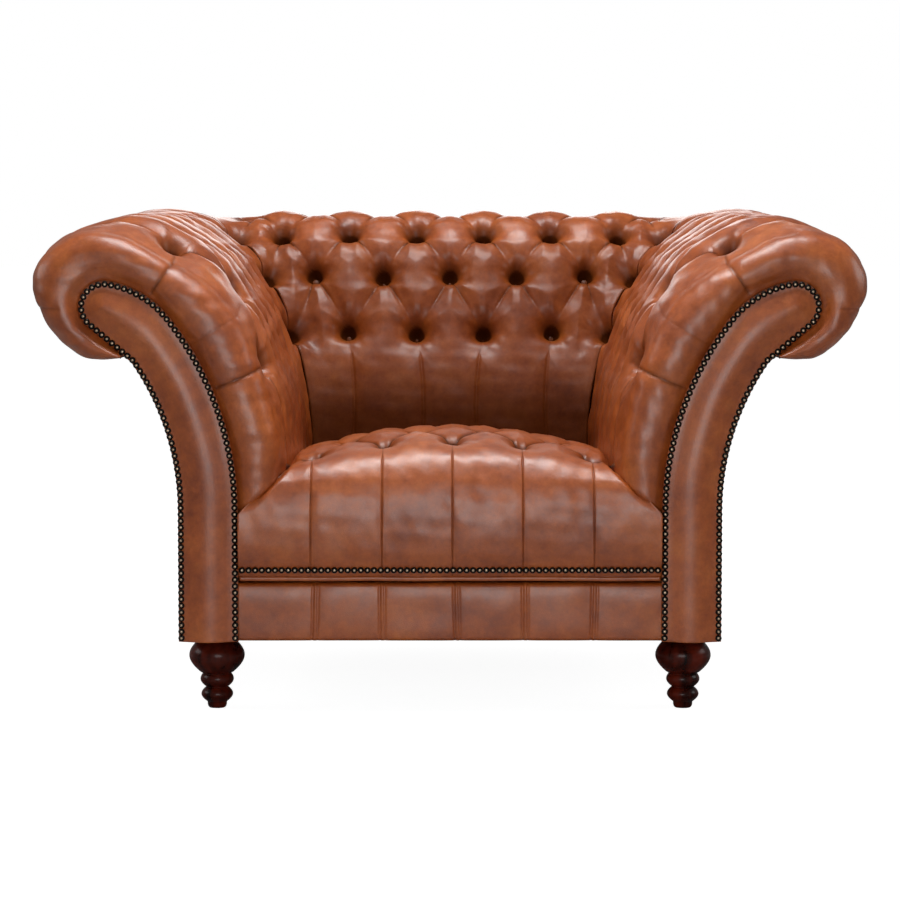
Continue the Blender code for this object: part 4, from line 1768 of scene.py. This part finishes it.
class Material:
    """A material with its Principled shader, the place on the piece, and ways to lay effects on it."""

    def __init__(self, name: str, effects: Effects, **constants: float | tuple) -> None:
        """Starts a material.

        Args:
            name: Name of the finish.
            effects: The shared groups.
            **constants: Values for the shader's own sockets, with _ for a space.
        """
        self.made = bpy.data.materials.new(name)
        self.made.use_nodes = True
        self.tree = Tree(self.made.node_tree)
        self.effects = effects
        self.shader = self.made.node_tree.nodes["Principled BSDF"]
        for key, value in constants.items():
            self.shader.inputs[key.replace("_", " ")].default_value = value
        self.place = self.tree.add("ShaderNodeTexCoord").outputs["Object"]

    def effect(self, group: bpy.types.NodeTree, **values: float) -> bpy.types.NodeOutputs:
        """Lays a shared effect on the piece and returns its outputs.

        Args:
            group: The shared group.
            **values: What its number inputs hold.

        Returns:
            Its output sockets.
        """
        node = self.tree.add("ShaderNodeGroup", node_tree=group)
        self.tree.link(self.place, node.inputs["Vector"])
        for key, value in values.items():
            node.inputs[key].default_value = value
        return node.outputs

    def ramp(self, value: bpy.types.NodeSocket, stops: list[tuple[float, tuple]]) -> bpy.types.NodeSocket:
        """Colours along a value.

        Args:
            value: A value from 0 to 1.
            stops: Places and colours along it.

        Returns:
            The colour.
        """
        node = self.tree.add("ShaderNodeValToRGB", {"Fac": value})
        bar = node.color_ramp
        for number, (at, colour) in enumerate(stops):
            stop = bar.elements[number] if number < 2 else bar.elements.new(at)
            stop.position = at
            stop.color = colour
        return node.outputs["Color"]

    def mix(self, share: object, low: object, high: object, blend: str = "MIX") -> bpy.types.NodeSocket:
        """Mixes two colours.

        Args:
            share: How much of the second colour.
            low: The first colour.
            high: The second colour.
            blend: How they mix.

        Returns:
            The colour.
        """
        node = self.tree.add("ShaderNodeMix", data_type="RGBA", blend_type=blend)
        for number, value in ((0, share), (6, low), (7, high)):
            if isinstance(value, bpy.types.NodeSocket):
                self.tree.link(value, node.inputs[number])
            else:
                node.inputs[number].default_value = value
        return node.outputs[2]

    def spread(self, value: bpy.types.NodeSocket, low: float, high: float) -> bpy.types.NodeSocket:
        """Stretches a 0 to 1 value between two numbers."""
        return self.tree.add("ShaderNodeMapRange", {"Value": value, 3: low, 4: high}).outputs["Result"]

    def bump(self, height: bpy.types.NodeSocket, strength: float, distance: float) -> None:
        """Raises the surface by a height."""
        node = self.tree.add("ShaderNodeBump", {"Height": height, "Strength": strength, "Distance": distance})
        self.tree.link(node.outputs["Normal"], self.shader.inputs["Normal"])

    def feed(self, socket: str, value: bpy.types.NodeSocket) -> None:
        """Joins a value to the shader."""
        self.tree.link(value, self.shader.inputs[socket])

    def attribute(self, name: str) -> bpy.types.NodeSocket:
        """A number stored on the piece's vertices."""
        return self.tree.add("ShaderNodeAttribute", attribute_name=name).outputs["Fac"]


@dataclass(frozen=True)
class AntiquedLeather:
    """Hand-antiqued aniline hide in a mid tan: cloudy, with painted shade in its folds, pits, buttons and
    recesses, and a soft waxy sheen.
    """

    deep: tuple = rgb(135, 59, 16)
    body: tuple = rgb(163, 78, 23)
    worn: tuple = rgb(182, 95, 34)
    # Painted shade: the near-black brown that folds, pits, buttons and the low parts of the back and arms are
    # darkened towards.
    fold: tuple = rgb(30, 9, 3)

    def make(self, name: str, effects: Effects) -> bpy.types.Material:
        """Builds the material.

        Args:
            name: Name of the material.
            effects: The shared groups.

        Returns:
            The material.
        """
        m = Material(name, effects, Coat_Roughness=0.27)
        cloud = m.effect(effects.mottle, Scale=9.0, Contrast=1.0)["Value"]
        fleck = m.effect(effects.mottle, Scale=60.0, Contrast=1.2)["Value"]
        colour = m.ramp(cloud, [(0.15, self.deep), (0.50, self.body), (0.88, self.worn)])
        speck = m.ramp(fleck, [(0.20, (0.72, 0.68, 0.64, 1)), (0.80, (1.12, 1.10, 1.08, 1))])
        colour = m.mix(0.55, colour, m.mix(1.0, colour, speck, "MULTIPLY"))
        # Painted shade: the fold attribute darkens the colour towards the shade colour, and takes the sheen
        # out of folds, pits, buttons and recesses.
        fold = m.attribute("fold")
        shade = m.spread(fold, 0.0, 0.92)
        colour = m.mix(shade, colour, self.fold)
        m.feed("Base Color", colour)
        m.feed("Roughness", m.spread(fleck, 0.34, 0.52))
        m.feed("Specular IOR Level", m.spread(fold, 0.66, 0.0))
        m.feed("Coat Weight", m.spread(fold, 0.32, 0.0))
        m.bump(m.effect(effects.hide_grain, Scale=430.0)["Height"], 0.16, 0.0006)
        return m.made


@dataclass(frozen=True)
class NailBrass:
    """Nail heads in dark antiqued brass, lighter on their crowns: partly worn brass, partly a painted
    highlight.
    """

    patina: tuple = rgb(18, 12, 9)
    # Crown colour: partly worn brass, partly a painted highlight.
    bright: tuple = rgb(205, 178, 148)

    def make(self, name: str, effects: Effects) -> bpy.types.Material:
        """Builds the material.

        Args:
            name: Name of the material.
            effects: The shared groups.

        Returns:
            The material.
        """
        m = Material(name, effects, Metallic=0.6)
        crown = m.attribute("crown")
        grime = m.effect(effects.mottle, Scale=90.0, Contrast=1.4)["Value"]
        # Painted highlight and wear: the top of each dome turns light.
        crown_wear_and_highlight = m.ramp(crown, [(0.88, self.patina), (0.96, self.bright)])
        m.feed("Base Color", m.mix(m.spread(grime, 0.0, 0.30), crown_wear_and_highlight, self.patina))
        m.feed("Roughness", m.spread(grime, 0.28, 0.46))
        return m.made


@dataclass(frozen=True)
class PolishedFoot:
    """Turned hardwood under dark mahogany lacquer."""

    dark: tuple = rgb(20, 4, 2)
    light: tuple = rgb(92, 26, 10)

    def make(self, name: str, effects: Effects) -> bpy.types.Material:
        """Builds the material.

        Args:
            name: Name of the material.
            effects: The shared groups.

        Returns:
            The material.
        """
        m = Material(name, effects, Coat_Weight=0.10, Coat_Roughness=0.08, Specular_IOR_Level=0.15)
        figure = m.effect(effects.timber_figure, Scale=42.0)["Value"]
        m.feed("Base Color", m.ramp(figure, [(0.1, self.dark), (0.9, self.light)]))
        m.feed("Roughness", m.spread(figure, 0.24, 0.36))
        m.bump(figure, 0.05, 0.0004)
        return m.made


@dataclass(frozen=True)
class BareTimber:
    """Sawn timber or plywood of the hidden frame."""

    dark: tuple = rgb(150, 112, 72)
    light: tuple = rgb(204, 170, 124)

    def make(self, name: str, effects: Effects) -> bpy.types.Material:
        """Builds the material.

        Args:
            name: Name of the material.
            effects: The shared groups.

        Returns:
            The material.
        """
        m = Material(name, effects)
        figure = m.effect(effects.timber_figure, Scale=30.0)["Value"]
        m.feed("Base Color", m.ramp(figure, [(0.1, self.dark), (0.9, self.light)]))
        m.feed("Roughness", m.spread(figure, 0.55, 0.75))
        m.bump(figure, 0.15, 0.0006)
        return m.made


@dataclass(frozen=True)
class WovenCloth:
    """Plain-woven cloth of the linings."""

    dark: tuple = rgb(150, 122, 84)
    light: tuple = rgb(196, 168, 124)
    threads: float = 3000.0

    def make(self, name: str, effects: Effects) -> bpy.types.Material:
        """Builds the material.

        Args:
            name: Name of the material.
            effects: The shared groups.

        Returns:
            The material.
        """
        m = Material(name, effects, Sheen_Weight=0.2)
        weave = m.effect(effects.weave, Scale=self.threads)["Height"]
        cloud = m.effect(effects.mottle, Scale=20.0, Contrast=1.0)["Value"]
        colour = m.ramp(weave, [(0.1, self.dark), (0.8, self.light)])
        m.feed("Base Color", m.mix(m.spread(cloud, 0.0, 0.4), colour, self.dark))
        m.feed("Roughness", m.spread(cloud, 0.80, 0.95))
        m.bump(weave, 0.4, 0.0004)
        return m.made


@dataclass(frozen=True)
class DullMetal:
    """Steel of springs and bolts."""

    dark: tuple = rgb(90, 92, 96)
    light: tuple = rgb(160, 162, 166)

    def make(self, name: str, effects: Effects) -> bpy.types.Material:
        """Builds the material.

        Args:
            name: Name of the material.
            effects: The shared groups.

        Returns:
            The material.
        """
        m = Material(name, effects, Metallic=1.0)
        cloud = m.effect(effects.mottle, Scale=60.0, Contrast=1.0)["Value"]
        m.feed("Base Color", m.ramp(cloud, [(0.2, self.dark), (0.8, self.light)]))
        m.feed("Roughness", m.spread(cloud, 0.3, 0.5))
        return m.made


@dataclass(frozen=True)
class Wadding:
    """Fibre stuffing."""

    dark: tuple = rgb(196, 186, 164)
    light: tuple = rgb(232, 224, 206)

    def make(self, name: str, effects: Effects) -> bpy.types.Material:
        """Builds the material.

        Args:
            name: Name of the material.
            effects: The shared groups.

        Returns:
            The material.
        """
        m = Material(name, effects, Sheen_Weight=0.3)
        cloud = m.effect(effects.mottle, Scale=45.0, Contrast=1.2)["Value"]
        m.feed("Base Color", m.ramp(cloud, [(0.2, self.dark), (0.8, self.light)]))
        m.feed("Roughness", m.spread(cloud, 0.85, 0.98))
        m.bump(cloud, 0.5, 0.002)
        return m.made


def make_finishes(effects: Effects) -> dict[str, bpy.types.Material]:
    """Every finish of the chair, by the name of its slot.

    Args:
        effects: The shared groups.

    Returns:
        The materials.
    """
    finishes = {
        "leather": AntiquedLeather(),
        "foot_timber": PolishedFoot(),
        "nail_bronze": NailBrass(),
        "frame_timber": BareTimber(),
        "plywood": BareTimber(rgb(168, 132, 90), rgb(214, 184, 140)),
        "stuffing": Wadding(),
        "hessian": WovenCloth(),
        "dust_cloth": WovenCloth(rgb(14, 14, 15), rgb(34, 34, 36), 4200.0),
        "spring_steel": DullMetal(),
        "bolt_steel": DullMetal(rgb(120, 112, 96), rgb(186, 178, 158)),
    }
    return {slot: finish.make(f"armchair_{slot}", effects) for slot, finish in finishes.items()}


# ------------------------------------------------------------------ studio


@dataclass
class Studio:
    """A plain pale floor, soft lights and the camera."""

    distance: float = 5.0
    eye: float = 0.860
    lens: float = 130.8
    tilt: float = 5.127
    ambient: float = 0.20
    floor_glow: float = 0.94

    def camera(self) -> None:
        """Sets the camera in front of the chair, looking slightly down."""
        lens = bpy.data.cameras.new("camera")
        lens.sensor_width = 36.0
        lens.lens = self.lens
        lens.clip_end = 60.0
        camera = add_object("camera", lens)
        camera.location = (0.0, SKIN.front - self.distance, self.eye)
        camera.rotation_euler = (math.radians(90 - self.tilt), 0.0, 0.0)
        bpy.context.scene.camera = camera

    def floor(self) -> None:
        """Lays the floor, large enough to fill the view behind the chair."""
        mesh = bpy.data.meshes.new("studio_floor")
        mesh.from_pydata([(-20, -20, 0), (20, -20, 0), (20, 20, 0), (-20, 20, 0)], [], [(0, 1, 2, 3)])
        floor = add_object("studio_floor", mesh)
        paint = bpy.data.materials.new("studio_floor")
        paint.use_nodes = True
        shader = paint.node_tree.nodes["Principled BSDF"]
        shader.inputs["Base Color"].default_value = (0.35, 0.35, 0.35, 1)
        shader.inputs["Roughness"].default_value = 0.9
        shader.inputs["Emission Color"].default_value = (1, 1, 1, 1)
        tree = Tree(paint.node_tree)
        seen = tree.add("ShaderNodeLightPath").outputs["Is Camera Ray"]
        tree.link(tree.maths("MULTIPLY", seen, self.floor_glow), shader.inputs["Emission Strength"])
        mesh.materials.append(paint)

    def world(self) -> None:
        """Fills the surroundings with even white light."""
        world = bpy.data.worlds.new("studio")
        bpy.context.scene.world = world
        world.use_nodes = True
        tree = Tree(world.node_tree)
        seen = tree.add("ShaderNodeLightPath").outputs["Is Camera Ray"]
        strength = tree.add("ShaderNodeMapRange", {"Value": seen, 3: self.ambient, 4: 1.0}).outputs["Result"]
        background = world.node_tree.nodes["Background"]
        background.inputs["Color"].default_value = (1, 1, 1, 1)
        tree.link(strength, background.inputs["Strength"])

    def light(self, name: str, place: tuple, aim: tuple, size: tuple, power: float) -> None:
        """Hangs one soft rectangular light.

        Args:
            name: Name of the light.
            place: Where it hangs.
            aim: What it points at.
            size: Width and height.
            power: Watts.
        """
        data = bpy.data.lights.new(name, "AREA")
        data.shape = "RECTANGLE"
        data.size, data.size_y = size
        data.energy = power
        lamp = add_object(name, data)
        lamp.location = place
        lamp.visible_camera = False
        lamp.rotation_euler = (Vector(aim) - Vector(place)).to_track_quat("-Z", "Y").to_euler()

    def build(self) -> None:
        """Sets everything up."""
        bpy.context.scene.view_settings.view_transform = "Standard"
        self.camera()
        self.floor()
        self.world()
        self.light("top_softbox", (0.0, -0.5, 2.6), (0.0, 0.0, 0.5), (1.25, 0.8), 47.0)
        self.light("front_softbox", (0.0, -2.6, 0.65), (0.0, -0.4, 0.45), (1.1, 0.8), 14.0)
        self.light("rear_softbox", (0.0, 3.2, 1.6), (0.0, 0.0, 0.4), (1.8, 1.2), 22.0)
        for side in (-1.0, 1.0):
            self.light("side_softbox", (side * 3.0, -0.2, 1.5), (0.0, 0.0, 0.4), (1.4, 1.0), 13.0)


# ------------------------------------------------------------------ the chair


class Armchair:
    """Builds every visible piece, hangs it under the root and hides the frame's nodes that it replaces."""

    def __init__(self) -> None:
        """Makes the finishes."""
        self.finishes = make_finishes(Effects())

    def keep(self, piece: bpy.types.Object, slot: str, nodes: list[str]) -> None:
        """Gives a piece its finish, hangs it under the root and hides the frame's nodes that it replaces.

        Args:
            piece: The piece.
            slot: Its finish.
            nodes: The frame's nodes that it replaces.
        """
        if not piece.data.materials:
            piece.data.materials.append(self.finishes[slot])
        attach(piece, ROOT)
        if nodes:
            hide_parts(*nodes)
        LOG.info("%s: %d faces", piece.name, len(piece.data.polygons))

    def upholstery(self) -> None:
        """Builds the tufted arms, back and seat."""
        inside = InsideLeather()
        for hand in Hand:
            word = hand.word
            nodes = [f"{word}_inside_arm_cover", f"{word}_arm_front_roll", f"{word}_arm_stuffing"]
            self.keep(inside.make_arm(hand), "leather", nodes)
            self.keep(inside.make_hessian(hand), "hessian", [f"{word}_arm_hessian"])
        self.keep(inside.make_back(), "leather", ["inside_back_cover", "back_stuffing"])
        self.keep(inside.make_hessian(None), "hessian", ["back_hessian"])
        self.keep(Seat().make(), "leather", ["seat_cover", "seat_stuffing", "seat_front_edge"])

    def panels(self) -> None:
        """Builds the facings, outside covers and front border."""
        facing = ArmFacing()
        outside = OutsideCovers()
        trim = FrontTrim()
        for hand in Hand:
            self.keep(facing.make(hand), "leather", [f"{hand.word}_facing_panel"])
            self.keep(outside.make_arm(hand), "leather", [f"{hand.word}_outside_arm_cover"])
        self.keep(outside.make_back(), "leather", ["outside_back_cover"])
        self.keep(trim.make_border(), "leather", ["front_border"])
        self.keep(trim.make_piping(), "leather", ["seat_piping"])

    def nails(self) -> None:
        """Sets the close nails."""
        studs = Studs("close_nails", True, 0.0052, 0.0034)
        tree = studs.tree(self.finishes["nail_bronze"])
        outward = np.array([0.0, -1.0, 0.0])
        facing = ArmFacing()
        for number, hand in enumerate(Hand):
            path = facing.nail_path(hand)
            row = studs.make(f"{hand.word}_facing_nail_row", path, outward, tree, SEED + number)
            self.keep(row, "nail_bronze", [f"{hand.word}_facing_nails"])
        row = studs.make("seat_nail_row", FrontTrim().nail_path(), outward, tree, SEED + 9)
        self.keep(row, "nail_bronze", ["seat_nails"])

    def buttons(self) -> None:
        """Sets the covered buttons in their pits."""
        studs = Studs("covered_buttons", False, 0.0105, 0.0045, 14, 8)
        tree = studs.tree(self.finishes["leather"])
        inside = InsideLeather()
        spots, ways = inside.button_points(False)
        for number, hand in enumerate(Hand):
            name = f"{hand.word}_arm_buttons"
            piece = studs.make(name, spots * hand.side, ways * hand.side, tree, SEED + number)
            self.keep_button(piece, 0.75)
        spots, ways = inside.button_points(True)
        self.keep_button(studs.make("back_buttons", spots, ways, tree, SEED + 4), 0.75)
        spots, ways = Seat().button_points()
        self.keep_button(studs.make("seat_buttons", spots, ways, tree, SEED + 6), 0.78)

    def keep_button(self, piece: bpy.types.Object, shade: float) -> None:
        """Paints shade on the buttons, which sit deep in their pits, and keeps them."""
        store_numbers(piece, "fold", np.full(len(piece.data.vertices), shade))
        self.keep(piece, "leather", [])

    def feet(self) -> None:
        """Turns the four feet."""
        foot = TurnedFoot()
        for hand in Hand:
            for end in ("front", "rear"):
                self.keep(foot.make(hand, end), "foot_timber", [f"{hand.word}_{end}_foot"])

    def frame_finishes(self) -> None:
        """Gives the frame's own pieces their finishes."""
        for name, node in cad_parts.items():
            for place in node.material_slots:
                slot = place.material.name.split(".")[0] if place.material else ""
                if slot in self.finishes:
                    place.material = self.finishes[slot]
                else:
                    LOG.info("%s has no finish: %s", name, slot)


def main() -> None:
    """Builds the studio and the chair."""
    logging.basicConfig(level=logging.INFO, format="%(name)s: %(message)s")
    Studio().build()
    chair = Armchair()
    chair.upholstery()
    chair.panels()
    chair.nails()
    chair.buttons()
    chair.feet()
    chair.frame_finishes()


if __name__ == "__main__":
    main()
